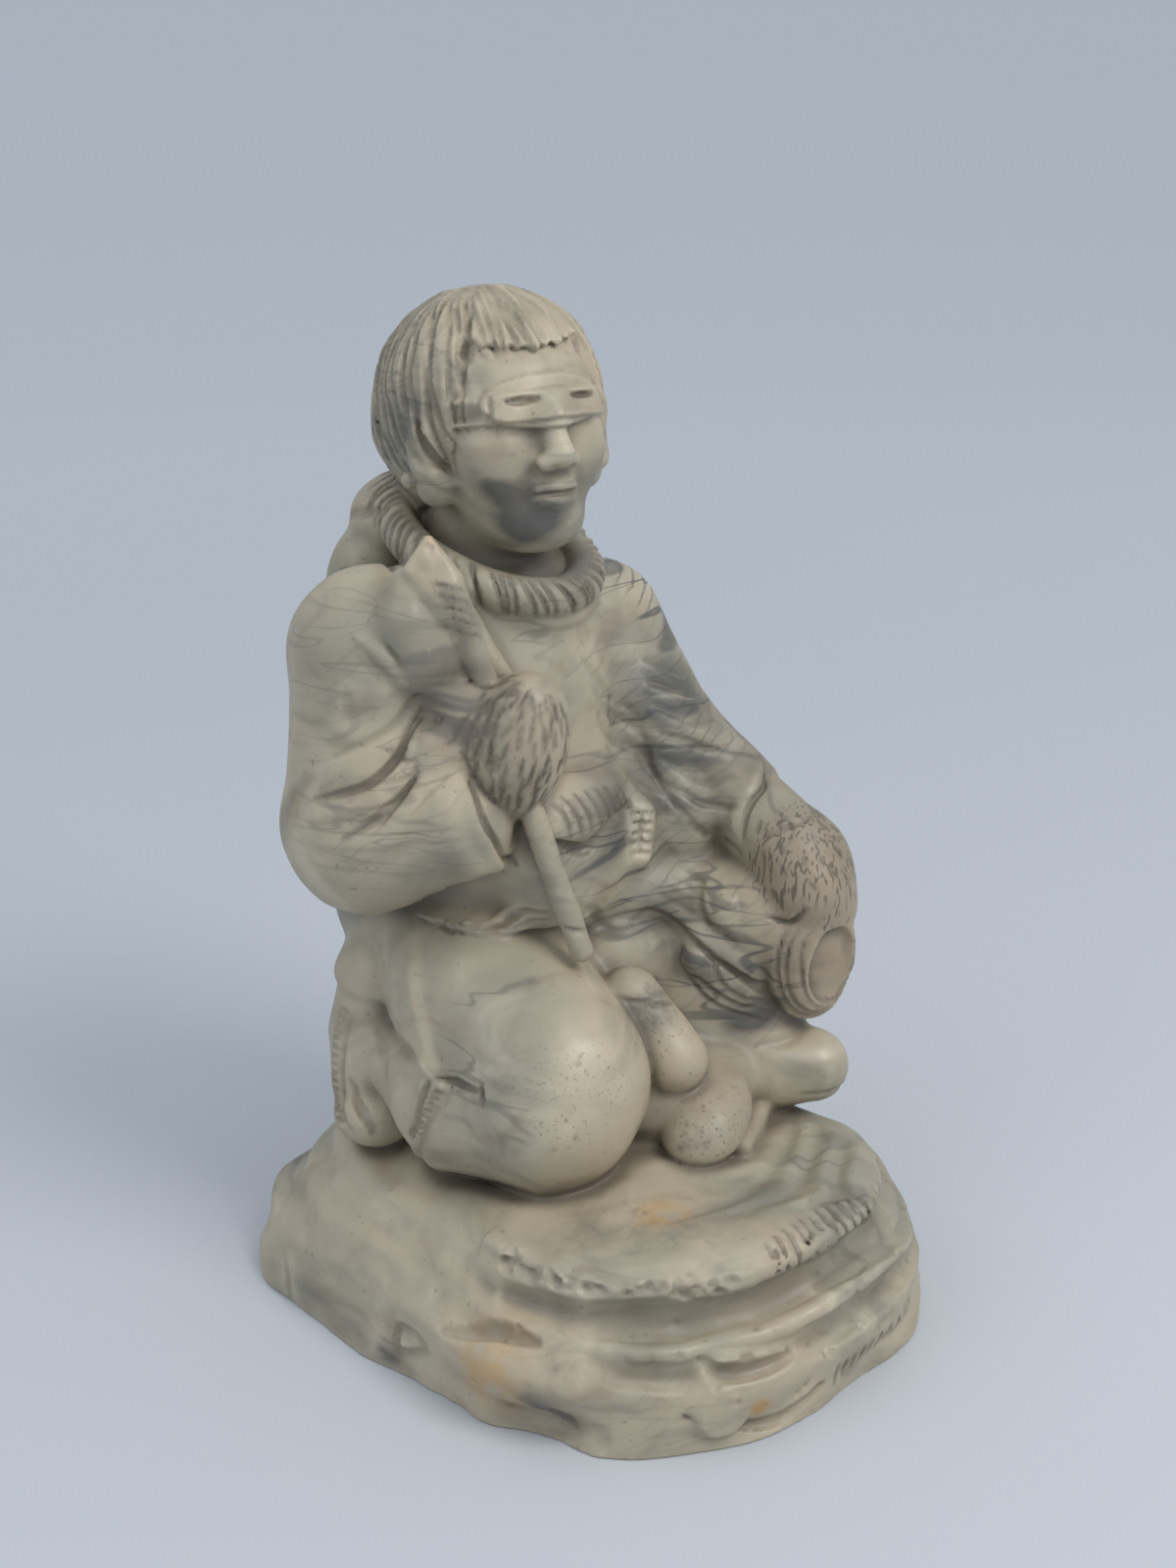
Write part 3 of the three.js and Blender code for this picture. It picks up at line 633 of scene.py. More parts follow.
def carve_sleeve_folds(clay):
    # the right sleeve, bunched at the elbow
    clay.groove([(-53, 22, 190), (-60, 25, 181), (-68, 29, 176), (-75, 36, 172)], 1.6, 1.0, 0.15)
    deep = [(-53, 22, 184), (-59, 23, 174), (-69, 27, 165), (-79, 40, 160)]
    clay.groove(moved(deep, (0, -2, -5)), 4, -1.6)
    clay.groove(deep, 1.4, 1.5, 0.5)
    low = [(-60, 17, 167), (-66, 19, 161), (-71, 24, 155), (-77, 30, 150)]
    clay.groove(moved(low, (1, -3, -5)), 4, -1.4)
    clay.groove(low, 1.3, 1.2, 0.5)
    clay.groove([(-58, 14, 160), (-63, 14, 152), (-66, 18, 146)], 3, 1.0, 0.1)
    for k in range(4):
        path = [(-57, 18, 172 - k), (-62 - k, 19, 172 - 5 * k), (-66 - 2 * k, 23, 175 - 8 * k)]
        clay.groove(path, 0.8, 0.6, 0.5, 9)
    clay.groove([(-66, 34, 206), (-61, 29, 200), (-55, 26, 193)], 2.8, -1.4)
    for k in range(4):
        path = [(-66 + 3.4 * k, 34 - 2 * k, 200 + 2 * k), (-61 + 3 * k, 30 - 2 * k, 193 + 2 * k)]
        clay.groove(path, 0.8, 0.5, 0.5, 8)
    # its end over the mitten
    end = [(-51.5, 5, 166), (-51, 0, 155), (-43, 1, 143), (-32, 6, 136)]
    clay.groove(moved(end, (-2, 2.6, -1.6)), 2.6, -1.2)
    clay.groove(end, 1.3, 1.7, 0.6)
    # the left sleeve: a fan of folds from the armpit, and a deep lower edge
    armpit = [(20, 4, 158), (24, -4, 144), (30, -12, 133), (33, -24, 128)]
    clay.groove(armpit, 1.6, 1.4, 0.3)
    for k, t in enumerate(np.linspace(0, 1, 6)):
        start = between((30, 10, 184), (23, -4, 148), t)
        end = between((50, 10, 178), (41, -20, 138), t)
        bend = (2 - k % 3, -4, -3 + 2 * (k % 2))
        path = [start, add(between(start, end, 0.45), bend), end]
        clay.groove(moved(path, (0, 0, -3.2)), 3.2, -0.9)
        clay.groove(path, 1.4, 0.7 + 0.4 * (k % 2), 0.4)
    cuff = [(54, -18, 153), (46, -24, 147), (39, -24, 141), (32, -25, 133)]
    clay.groove(moved(cuff, (0, 3.5, 1.5)), 2.6, -1.2)
    clay.groove(cuff, 1.2, 1.4, 0.6)
    clay.groove([(54, -36, 143), (48, -41, 140), (39, -38, 138), (34, -32, 135)], 1.0, 0.8, 0.5)
    # the chest: soft drapery towards the left arm
    for k in range(5):
        a = (4 + 2 * k, 6 - k, 190 - 9 * k)
        b = (13 + k, 1 - k, 180 - 9 * k)
        clay.groove([a, b, (18 + k, 1, 168 - 8 * k)], 2.0, 0.9, 0.2)


# ---------- the mittens ----------
def carve_mittens(clay):
    j = JOINT
    clay.press(egg(j["mittR"], (15.5, 16, 24), (20, 12, -30)), 2)
    clay.press(egg((-44, 13, 178), (8, 10, 14)), 4)
    clay.press(egg((-50, 13, 171), (5, 6, 7)), 4)
    clay.press(egg((-54, 17, 172), (5, 6, 8)), 4)
    clay.soften(egg((-49, 15, 177), (8, 9, 16)), 1.6, 5)
    clay.press(limb([j["wristL"], add(j["mittL"], (0, 7, 5))], [14, 15]), 2)
    clay.press(egg(j["mittL"], (16, 15, 20), (-24, 0, 0)), 2)
    clay.press(limb([(44, -46, 119), (51, -47, 110)], [8, 6.5]), 5)
    clay.press(egg((45.5, -44, 114), (12, 9.5, 10.5), (0, 0, -36)), 2)


def carve_mitten_seams(clay, rng):
    turn = (20, 12, -30)
    fur(clay, JOINT["mittR"], (15.5, 16, 24), turn, (74, -30), (-210, -30), 80, (12, 24), rng)
    turn = (-24, 0, 0)
    fur(clay, JOINT["mittL"], (16, 15, 20), turn, (60, -20), (-200, -40), 24, (6, 12), rng)
    # fingertips over the rope
    clay.groove([(30, -38, 112), (34, -44, 111), (37, -48, 117)], 1.3, 1.3, 0.5)


EVEN_STEPS = (0.7549, 0.5698)  # whole steps of these fill a unit square evenly


def fur(clay, centre, radii, turn, lats, lons, count, runs, rng):
    """Short strokes along the meridians of an egg, spread evenly and each thin at both ends."""
    m = turning(turn)
    spread = np.modf(np.arange(count)[:, None] * EVEN_STEPS)[0]
    for u, v in spread:
        lat = lats[0] + (lats[1] - lats[0]) * u
        lon = lons[0] + (lons[1] - lons[0]) * v
        run = rng.uniform(*runs)
        a = np.radians(np.linspace(lat, lat - run, 4))
        b = np.radians(np.linspace(lon, lon + rng.uniform(-3, 7), 4))
        p = np.stack([np.cos(a) * np.cos(b), np.cos(a) * np.sin(b), np.sin(a)], -1) * radii
        clay.groove(p @ m.T + centre, 0.5, rng.uniform(0.3, 0.5), 1.3, 6)


# ---------- the rope ----------
def carve_rope(clay):
    facing = (0, 0, -36)
    clay.press(egg((46, -38, 97), (16, 9, 21), facing), 3)
    clay.press(egg((43, -45, 97), (14.5, 8, 21), facing), 1.5)
    across, up = turning(facing)[:, 0], np.array([0, 0, 1])
    clay.carve(egg((45, -51, 95.5), (8, 5.5, 12.5), facing), 4.5, 4)
    for t, end in zip(np.linspace(0, 1, 4), (300, 320, 345, 385)):
        a = np.radians(np.linspace(125, end, 23))
        wide, tall = 12.6 - 4.6 * t, 19 - 5.5 * t
        centre = (42, -49, 96.5) + 4.8 * t * across
        path = centre + wide * np.cos(a)[:, None] * across + tall * np.sin(a)[:, None] * up
        clay.groove(path, 0.7, 0.9, 0.8, 30)


# ---------- the head ----------
def carve_head(clay):
    # the neck, then a plain face
    clay.press(limb(head_path([(0, 22, -8), (0, 28, -26)]), [18, 14]), 5)
    clay.press(head_egg((0, 2, 0), (29.5, 33, 31)), 1)
    clay.press(head_egg((0, -9, -14), (22, 22, 26)), 5)
    clay.press(head_egg((0, -18, -33), (13, 12, 8.5)), 6)
    for side in (-1, 1):
        clay.press(head_egg((13, -20, -13), (9, 8, 10), side), 6)
        clay.press(head_egg((4.4, -32.6, -16.5), (2.9, 3, 2.4), side), 1.6)
    clay.press(limb(head_path([(0, -30.5, -3), (0, -35.6, -14.8)]), [2.8, 3.7]), 3.5)
    clay.press(head_egg((0, -29.6, -23.6), (7.6, 3, 2.2)), 2.5)
    clay.press(head_egg((0, -28.9, -27.4), (6.4, 3.2, 2.2)), 2.5)
    clay.soften(head_egg((0, -30, -22), (18, 10, 16)), 0.9, 4)
    mouth = [(7.6 * t, -33 + 3 * t * t, -25.6 + 0.5 * t * t) for t in (-1, -0.5, 0, 0.5, 1)]
    clay.groove(head_path(mouth), 0.9, 1.0, 0.8)
    for side in (-1, 1):
        clay.carve(egg(on_head((2.6, -35.6, -18.6), side), (1.3, 1.6, 1)), 1.2, 0.9)
        crease = [(7, -30, -17), (9.5, -28.5, -22), (10.5, -27, -26)]
        clay.groove(head_path(crease, side), 1.8, 0.5)
    # the snow goggles: a strap and a broad band over the eyes, with two slits
    clay.rise(block(on_head((0, -20, -0.6)), (34, 24, 4), 1, FACE), 1.9, 0.7)
    clay.rise(head_egg((0, -34, 0.6), (21, 22, 7.6)), 2.3, 0.7)
    for side in (-1, 1):
        slit = [(x, -36 + 0.3 * x, 1) for x in (5, 9.5, 14)]
        clay.groove(head_path(slit, side), 1.0, 1.6, 1.0)
        for k in range(4):
            foot = on_head((20.6 + 0.9 * k, -26 + 2.2 * k, -2.6), side)
            clay.groove([foot, foot + (0, 0, 2.6)], 0.9, 0.7)
        long = head_path([(20 + 1.1 * k, -27 + 2.2 * k, 1) for k in range(5)], side)
        clay.groove(long, 0.9, 0.6)
        clay.groove([p - (0, 0, 4.2) for p in long], 0.9, 0.6)
        clay.groove(head_path([(17.6, -29, z) for z in (4, 0, -3)], side), 1.2, 0.9)


def carve_hair(clay):
    """Hair lies over the head: above the fringe all round, and behind the curtains' edges."""
    cap = head_egg((0, 4, 3), (32.5, 36, 33))
    nape = limb(head_path([(0, 14, -8), (0, 20, -20)]), [30, 22])
    bring = own_axes((0, 0, 0), FACE)

    def distance(x, y, z):
        px, py, pz = bring(x - HEAD[0], y - HEAD[1], z - HEAD[2])
        side = np.maximum(-18.5 - py + 0.5 * np.maximum(-4 - pz, 0), -22 - pz - 0.25 * py)
        fringe = 15.5 + 0.012 * px * px + 0.7 * np.sin(1.4 * px) - pz
        where = np.minimum(fringe, side)
        hair = join(cap[2](x, y, z), nape[2](x, y, z), 6)
        return np.maximum(hair, where)

    low, high = np.minimum(cap[0], nape[0]), np.maximum(cap[1], nape[1])
    clay.press((low, high, distance), 0.8)
    for side in (-1, 1):
        lock = head_path([(24.5, -8, -4), (24, -4, -20)], side)
        clay.press(limb(lock, [7.5, 6]), 3)


def comb_hair(clay, rng):
    """Strands from the crown: to the nape at the sides and back, and to a fringe in front."""

    def strand(lon, start, end, half, depth, darkening):
        lat = np.linspace(start, end, 8)
        a = np.radians(lon + 0.12 * (60 - lat) + 2 * np.sin(lat / 14 + lon))
        lat = np.radians(lat)
        p = [32 * np.cos(lat) * np.cos(a), 4 + 36 * np.cos(lat) * np.sin(a), 3 + 33 * np.sin(lat)]
        clay.groove(head_path(np.stack(p, -1)), half, depth, darkening, 16)

    for lon in np.linspace(-205, 155, 56) + rng.normal(0, 1.2, 56):
        front = abs((lon + 90 + 540) % 360 - 180)
        end = 20 if front < 48 else -34 if front > 60 else -14
        strand(lon + 3, 74, end, 1.7, -0.7, 0)
        strand(lon, 76 - 12 * rng.random(), end, 0.85, rng.uniform(0.9, 1.3), rng.uniform(0.4, 0.9))
    for lon in rng.uniform(-200, 160, 70):
        start = rng.uniform(40, 70)
        strand(lon, start, start - rng.uniform(14, 30), 0.8, rng.uniform(0.5, 0.9), 0.6)
    for side in (-1, 1):
        edge = [(11.5, -14, 28.6), (17.5, -19.5, 19.5), (19.5, -20, 8.5)]
        clay.groove(head_path(edge, side), 1.1, 1.1, 0.6)
        lock = [(31, -6, -4), (30, -5, -12), (25, -8, -18), (22, -13, -19.5)]
        clay.groove(head_path(lock, side), 2.6, -1.8)
        inner = [(28, -10, -2), (27, -9, -10), (24, -11, -15)]
        clay.groove(head_path(inner, side), 1.8, 2.0, 0.6)
        clay.press(egg(on_head((30.5, 0, -17.5), side), (2.6, 2.6, 2.6)), 0.6)


# ---------- collar and hood ----------
def carve_collar(clay):
    clay.press(ring(COLLAR, *COLLAR_SIZE, (COLLAR_TILT, 0, 0)), 2)
    clay.press(egg((0, 80, 207), (33, 16, 24), (14, 0, 0)), 6)
    clay.press(egg((0, 74, 225), (26, 18, 13), (8, 0, 0)), 4)
    clay.groove([(-38, 76, 212), (-35, 66, 217), (-36, 54, 220), (-42, 42, 221)], 2.2, 2.2)
    clay.groove([(-30, 88, 228), (-31, 76, 230), (-28, 64, 232)], 2, 1.3)
    clay.groove([(38, 76, 212), (35, 66, 217), (36, 54, 220)], 2.2, 2)
    clay.groove([(-26, 94, 214), (0, 97, 210), (26, 94, 214)], 2.6, 1.3)
    clay.groove([(-24, 92, 200), (0, 95, 195), (24, 92, 200)], 2.6, 1.1)


def comb_collar(clay, rng):
    for a in np.arange(0, 360, 6.4) + rng.normal(0, 1.2, 57):
        lean = 7 + 6 * rng.random()
        steps = ((0, 5.5, 0), (3, 4.5, 0.3), (5.4, 1.5, 0.7), (5, -3, 1))
        path = [on_collar(a + lean * s, out, up) for out, up, s in steps]
        clay.groove(path, 0.8, 0.9, 0.9, 8)


# ---------- the harpoon ----------
def carve_harpoon(clay):
    clay.press(limb(SHAFT, [3.7, 3.5]), 0.8)
    clay.press(limb([(-52, 28, 219), (-53, 27, 209), (-50, 23, 198)], [5, 8, 8]), 6)
    outline = [(-47.5, 23.5, 231), (-53.5, 24.5, 223.5), (-46, 20, 212), (-43.5, 18.5, 221)]
    clay.press(limb([*outline, outline[0]], [1.6, 2.2, 4, 2.4, 1.6]), 1.5)
    clay.press(egg((-48, 22.6, 221.5), (4, 3.4, 7)), 2)
    for t in np.linspace(0.0, 0.12, 5):
        c = np.array(between(*SHAFT, t))
        clay.groove([c + (-6, 0.6, 1.5), c + (-3.8, -3.4, 0.4), c + (2, -5, -1.2)], 0.6, 0.7, 0.8, 7)
    c = np.array(between(*SHAFT, 0.93))
    clay.groove([c + (-4, 0.6, 0.6), c + (-2.8, -3.4, 0), c + (2, -4.2, -0.6)], 0.8, 0.9, 0.7, 7)


# ---------- beads and stones ----------
def carve_beads(clay):
    """A soft strip down the apron, cut into two columns of beads by shallow lines."""
    strip = [(11.8, -3.1, 141.7), (9.2, -4.9, 130)]
    right, near = np.array((0.67, -0.74, 0)), np.array((-0.7, -0.62, 0.33))
    clay.press(limb(strip, [4.4, 4.2]), 3)
    for t in np.linspace(-0.02, 1, 5):
        c = np.array(between(*strip, t))
        path = [c - 4.6 * right + 1.6 * near, c + 4.7 * near, c + 4.6 * right + 1.6 * near]
        clay.groove(path, 0.6, 0.9, 0.9, 8)
    clay.groove(moved(strip, 4.6 * near + 0.4 * right), 0.6, 0.8, 0.9, 8)


def carve_stones(clay):
    clay.press(egg((6, 0, 96), (19, 14, 15)), 5)
    clay.press(egg((6, 12, 62), (30, 34, 30)), 8)
    clay.press(egg((8, -24, 58), (26, 20, 16)), 6)
    clay.press(limb([(-8, -17, 92), (-4, -31, 75)], [9, 10]), 2)
    clay.press(egg((2, -38, 58), (21, 14, 10), (0, -18, 30)), 1.5)
    clay.press(block((14, -34, 49), (20, 14, 4), 3, (0, 0, 25)), 2)
    clay.soften(egg((4, -24, 68), (20, 14, 16)), 1.2, 5)
    clay.soften(egg((25, -20, 104), (15, 15, 11)), 3, 7)


def pit(clay, centre, spread, count, rng):
    """Small round pits on the surface round a place."""
    for place in clay.settle(centre + rng.normal(0, 1, (count, 3)) * spread):
        wide = 0.6 + 0.8 * rng.random() ** 3
        clay.groove([place, place + (0.2, 0, 0.2)], wide, 0.7 * wide, rng.uniform(0.3, 1), 2)


def pit_stone(clay, rng):
    for centre, spread, count in (
        ((-9, -26, 86), (4, 4, 8), 34),
        ((-8, -46, 62), (10, 6, 5), 40),
        ((-52, -36, 78), (12, 8, 14), 14),
        ((-60, -70, 34), (24, 16, 10), 34),
        ((0, -96, 24), (30, 8, 12), 24),
    ):
        pit(clay, centre, spread, count, rng)
    clay.groove([(-12, -18, 94), (-8, -24, 91), (-3, -26, 89)], 0.9, 0.8, 0.8)


FIGURE = (carve_legs, carve_body, carve_arms, carve_mittens, carve_rope, carve_head, carve_hair)
THINGS = (carve_collar, carve_harpoon, carve_stones)
LINES = (carve_leg_seams, carve_lap, carve_beads, carve_sleeve_folds)
SCATTERED = (comb_hair, comb_collar, carve_mitten_seams, carve_marks, pit_stone)
SEED = 7


def sculpt(cell):
    """The whole carving. All chance comes from one row of numbers, so the order counts."""
    rng = np.random.default_rng(SEED)
    clay = Clay(cell)
    carve_rock(clay, rng)
    for work in (*FIGURE, *THINGS, *LINES):
        work(clay)
    for work in SCATTERED:
        work(clay, rng)
    for height, step in ((0.3, 22), (0.12, 8)):
        clay.d += height * lumps(clay.d.shape, clay.cell, (step, step, step), rng)
    where, places = clay.near(LOW, HIGH, 0)
    # the underside is flat, at height 0
    clay.d[where] = np.maximum(clay.d[where], -places[2])
    return clay


# ---------- from clay to a skin ----------
def net(clay):
    """Surface nets: one point in each cell the surface crosses, at the mean of its edge
    crossings, and one quad round each grid edge that it crosses."""
    d = clay.d
    inside = d < 0
    n = np.array(d.shape) - 1
    count = np.zeros(n, np.int8)
    for c in range(8):
        o = (c & 1, c >> 1 & 1, c >> 2)
        count += inside[tuple(slice(o[k], o[k] + n[k]) for k in range(3))]
    cells = np.argwhere((count > 0) & (count < 8))
    total = np.zeros((len(cells), 3))
    hits = np.zeros(len(cells))
    for axis in range(3):
        for c in range(4):
            o = np.zeros(3, int)
            o[(axis + 1) % 3], o[(axis + 2) % 3] = c & 1, c >> 1
            a = cells + o
            b = a.copy()
            b[:, axis] += 1
            va, vb = d[tuple(a.T)], d[tuple(b.T)]
            crossed = (va < 0) != (vb < 0)
            t = np.where(crossed, va / np.where(crossed, va - vb, 1), 0)
            place = a.astype(float)
            place[:, axis] += t
            total += place * crossed[:, None]
            hits += crossed
    points = total / hits[:, None]
    known = np.full(n, -1, np.int32)
    known[tuple(cells.T)] = np.arange(len(cells), dtype=np.int32)
    quads = []
    for axis in range(3):
        u, v = (axis + 1) % 3, (axis + 2) % 3
        lo, hi = [slice(None)] * 3, [slice(None)] * 3
        lo[axis], hi[axis] = slice(0, -1), slice(1, None)
        first, second = inside[tuple(lo)], inside[tuple(hi)]
        edge = np.argwhere(first != second)
        edge = edge[(edge[:, u] > 0) & (edge[:, v] > 0)]
        edge = edge[(edge[:, u] < n[u]) & (edge[:, v] < n[v])]
        leaving = first[tuple(edge.T)]
        corners = []
        for du, dv in ((-1, -1), (0, -1), (0, 0), (-1, 0)):
            at = edge.copy()
            at[:, u] += du
            at[:, v] += dv
            corners.append(known[tuple(at.T)])
        quad = np.stack(corners, -1)
        quads.append(np.where(leaving[:, None], quad, quad[:, ::-1]))
    return points * clay.cell + LOW, np.concatenate(quads)


def mesh_from(name, points, faces):
    """A mesh from whole arrays; its faces all have as many corners as a row of faces."""
    mesh = bpy.data.meshes.new(name)
    mesh.vertices.add(len(points))
    mesh.vertices.foreach_set("co", np.ravel(points).astype(np.float32))
    mesh.loops.add(faces.size)
    mesh.loops.foreach_set("vertex_index", np.ravel(faces).astype(np.int32))
    mesh.polygons.add(len(faces))
    sides = faces.shape[1]
    mesh.polygons.foreach_set("loop_start", np.arange(0, faces.size, sides, dtype=np.int32))
    mesh.update(calc_edges=True)
    mesh.validate()
    return mesh


def thinned(mesh, name, triangles):
    """The mesh with its flat places thinned until it has about so many triangles."""
    piece = bpy.data.objects.new(name, mesh)
    bpy.context.scene.collection.objects.link(piece)
    count = 2 * len(mesh.polygons)
    thin = piece.modifiers.new("thin", "DECIMATE")
    thin.ratio = min(1.0, triangles / count)
    thin.use_collapse_triangulate = True
    graph = bpy.context.evaluated_depsgraph_get()
    made = bpy.data.meshes.new_from_object(piece.evaluated_get(graph), depsgraph=graph)
    piece.modifiers.clear()
    piece.data = made
    bpy.data.meshes.remove(mesh)
    made.name = name
    return piece


def mean_round(grid, reach):
    """The mean of a grid in a box of cells round each place, from running totals."""
    made = grid
    for axis in range(3):
        pad = [(0, 0)] * 3
        pad[axis] = (reach + 1, reach)
        total = np.cumsum(np.pad(made, pad, "edge"), axis=axis, dtype=np.float64)
        wide = 2 * reach + 1
        a, b = [slice(None)] * 3, [slice(None)] * 3
        a[axis], b[axis] = slice(wide, None), slice(0, -wide)
        made = ((total[tuple(a)] - total[tuple(b)]) / wide).astype(np.float32)
    return made


def blot(points, spots):
    """How strongly each point lies in soft spots, full out to half a radius, gone at 1.5."""
    total = np.zeros(len(points))
    for *place, radius, strength in spots:
        gap = np.linalg.norm(points - np.array(place, float), axis=1)
        total = np.maximum(total, strength * smooth(1.5 - gap / radius))
    return total


# where the stone differs, and where shade is painted: x, y and z of a soft round spot, its radius and its
# strength
SPOTS = {
    # dark patches of the stone; the spots under the right hem, under the apron's hem over the stones and
    # on the face are painted shade as well
    "dark": (
        (-50, 18, 205, 12, 0.7), (-50, 10, 188, 14, 0.9), (26, 10, 190, 14, 0.5),
        (34, -2, 172, 18, 1.0), (28, -6, 150, 16, 1.0), (-8, -8, 145, 14, 1.0),
        (10, -12, 110, 12, 0.7), (20, -25, 96, 9, 3.0), (28, -33, 86, 10, 3.0),
        (-10, -24, 92, 9, 0.8), (6, 22, 222, 16, 0.9), (-91, -55, 5, 12, 1.2), (-95, -2, 7, 5, 1.0),
        (-28, -85, 30, 12, 0.5), (-26, 8, 150, 10, 0.6), (0, -2, 158, 12, 0.7),
        (-22, 16, 246, 10, 1.4), (-18, 14, 236, 10, 1.5), (-14, 20, 222, 9, 0.8),
        (-27, 30, 268, 9, 0.7), (-52, 34, 250, 12, 0.6), (-14, 18, 212, 8, 0.7),
        (-70, -50, 38, 16, 0.3), (-14, -6, 240, 12, 0.9), (-33, 48, 262, 8, 0.9),
        (-30, 25, 108, 20, 0.35),
    ),
    "vein": (
        (44, 30, 192, 24, 1.0), (36, 6, 168, 24, 1.0), (44, -8, 150, 16, 0.6),
        (12, 6, 180, 16, 0.4), (-8, -4, 146, 20, 1.0), (14, -12, 112, 26, 0.8),
        (26, -28, 92, 20, 1.0), (0, -10, 130, 18, 0.7), (-68, 24, 164, 26, 0.35),
        (-66, 40, 200, 22, 0.3), (-30, 60, 268, 26, 0.4), (-14, -6, 240, 18, 0.4),
        (-60, -70, 30, 40, 0.15),
    ),
    "brown": (
        (48, -40, 123, 20, 1.0), (51, -10, 140, 16, 0.8), (50, 8, 158, 16, 0.5),
        (-34, 5, 172, 20, 0.45), (46, -44, 94, 20, 0.7), (6, -38, 58, 18, 0.4),
    ),
    "ochre": (
        (-88, -42, 18, 12, 0.8), (-50, -99, 12, 3.5, 1.6), (-41, -58, 49, 7, 0.7),
        (-47, 24, 233, 3, 1.0),
    ),
    "pale": (
        (9, -7, 140, 5, 1.0), (7, -9, 131, 5, 1.0), (-44, -40, 84, 16, 0.4),
        (-22, -8, 160, 14, 0.6), (-6, -10, 170, 14, 0.5),
    ),
    "fur": (
        (48, -38, 124, 18, 1.0), (46, -46, 115, 10, 1.0),
    ),
    "pits": (
        (-9, -27, 86, 10, 1.0), (-8, -48, 62, 12, 0.8), (-50, -34, 82, 16, 0.5),
        (0, -96, 30, 30, 0.3),
    ),
}
# how far round a place each measure of its hollowness looks, in millimetres; the material paints shade
# from both
HOLLOWNESS = {"groove": 1.3, "hollow": 7.0}


def tell(piece, clay, shift):
    """Stores, at every point, how hollow the place is, from which the material paints shade, how dark its
    cut grooves are made, and which colour spots it lies in.
    """
    count = len(piece.data.vertices)
    co = np.empty(count * 3, np.float32)
    piece.data.vertices.foreach_get("co", co)
    points = co.reshape(-1, 3).astype(float) / MM - shift
    at = (points - LOW) / clay.cell
    stone = (clay.d < 0).astype(np.float32)
    for name, reach in HOLLOWNESS.items():
        cells = max(1, round(reach / clay.cell))
        keep(piece, name, blend_read(mean_round(stone, cells), at) * 2 - 1)
    keep(piece, "ink", blend_read(clay.ink, at))
    for name, spots in SPOTS.items():
        keep(piece, name, blot(points, spots))


def keep(piece, name, value):
    layer = piece.data.attributes.new(name, "FLOAT", "POINT")
    layer.data.foreach_set("value", np.asarray(value, np.float32))


# ---------- the stone ----------
class Nodes:
    """Adds nodes to a material, left to right."""

    FIRST, APART = -1800, 190  # places of the columns in the node editor

    def __init__(self, material):
        self.tree = material.node_tree
        self.column = 0

    def add(self, kind, **settings):
        node = self.tree.nodes.new(kind)
        node.location = (self.column * self.APART + self.FIRST, 0)
        self.column += 1
        for key, value in settings.items():
            setattr(node, key, value)
        return node

    def put(self, node, values):
        for key, value in values.items():
            if isinstance(value, bpy.types.NodeSocket):
                self.tree.links.new(value, node.inputs[key])
            else:
                node.inputs[key].default_value = value

    def noise(self, vector, scale, detail=3.0, stretch=(1, 1, 1), warp=0.0):
        place = self.add("ShaderNodeMapping")
        self.put(place, {"Vector": vector, "Scale": stretch})
        node = self.add("ShaderNodeTexNoise")
        values = {"Vector": place.outputs[0], "Scale": scale, "Detail": detail}
        self.put(node, {**values, "Distortion": warp})
        return node.outputs["Fac"]

    def bands(self, vector, scale, warp):
        turned = self.add("ShaderNodeMapping")
        self.put(turned, {"Vector": vector, "Rotation": (0.3, 0.5, 0.2)})
        wave = self.add("ShaderNodeTexWave", wave_type="BANDS", bands_direction="Z")
        values = {"Vector": turned.outputs[0], "Scale": scale, "Distortion": warp}
        self.put(wave, {**values, "Detail": 3, "Detail Scale": 0.7, "Detail Roughness": 0.6})
        return wave.outputs["Fac"]

    def ramp(self, value, start, end, low=0.0, high=1.0):
        node = self.add("ShaderNodeMapRange", interpolation_type="SMOOTHSTEP")
        values = {"Value": value, "From Min": start, "From Max": end}
        self.put(node, {**values, "To Min": low, "To Max": high})
        return node.outputs["Result"]

    def sum(self, how, a, b):
        node = self.add("ShaderNodeMath", operation=how, use_clamp=how in ("MULTIPLY", "ADD"))
        self.put(node, {0: a, 1: b})
        return node.outputs[0]

    def times(self, a, b):
        return self.sum("MULTIPLY", a, b)

    def tint(self, share, below, above):
        node = self.add("ShaderNodeMix", data_type="RGBA")
        self.put(node, {0: share, 6: below, 7: above})
        return node.outputs[2]

    def layer(self, name):
        return self.add("ShaderNodeAttribute", attribute_name=name).outputs["Fac"]


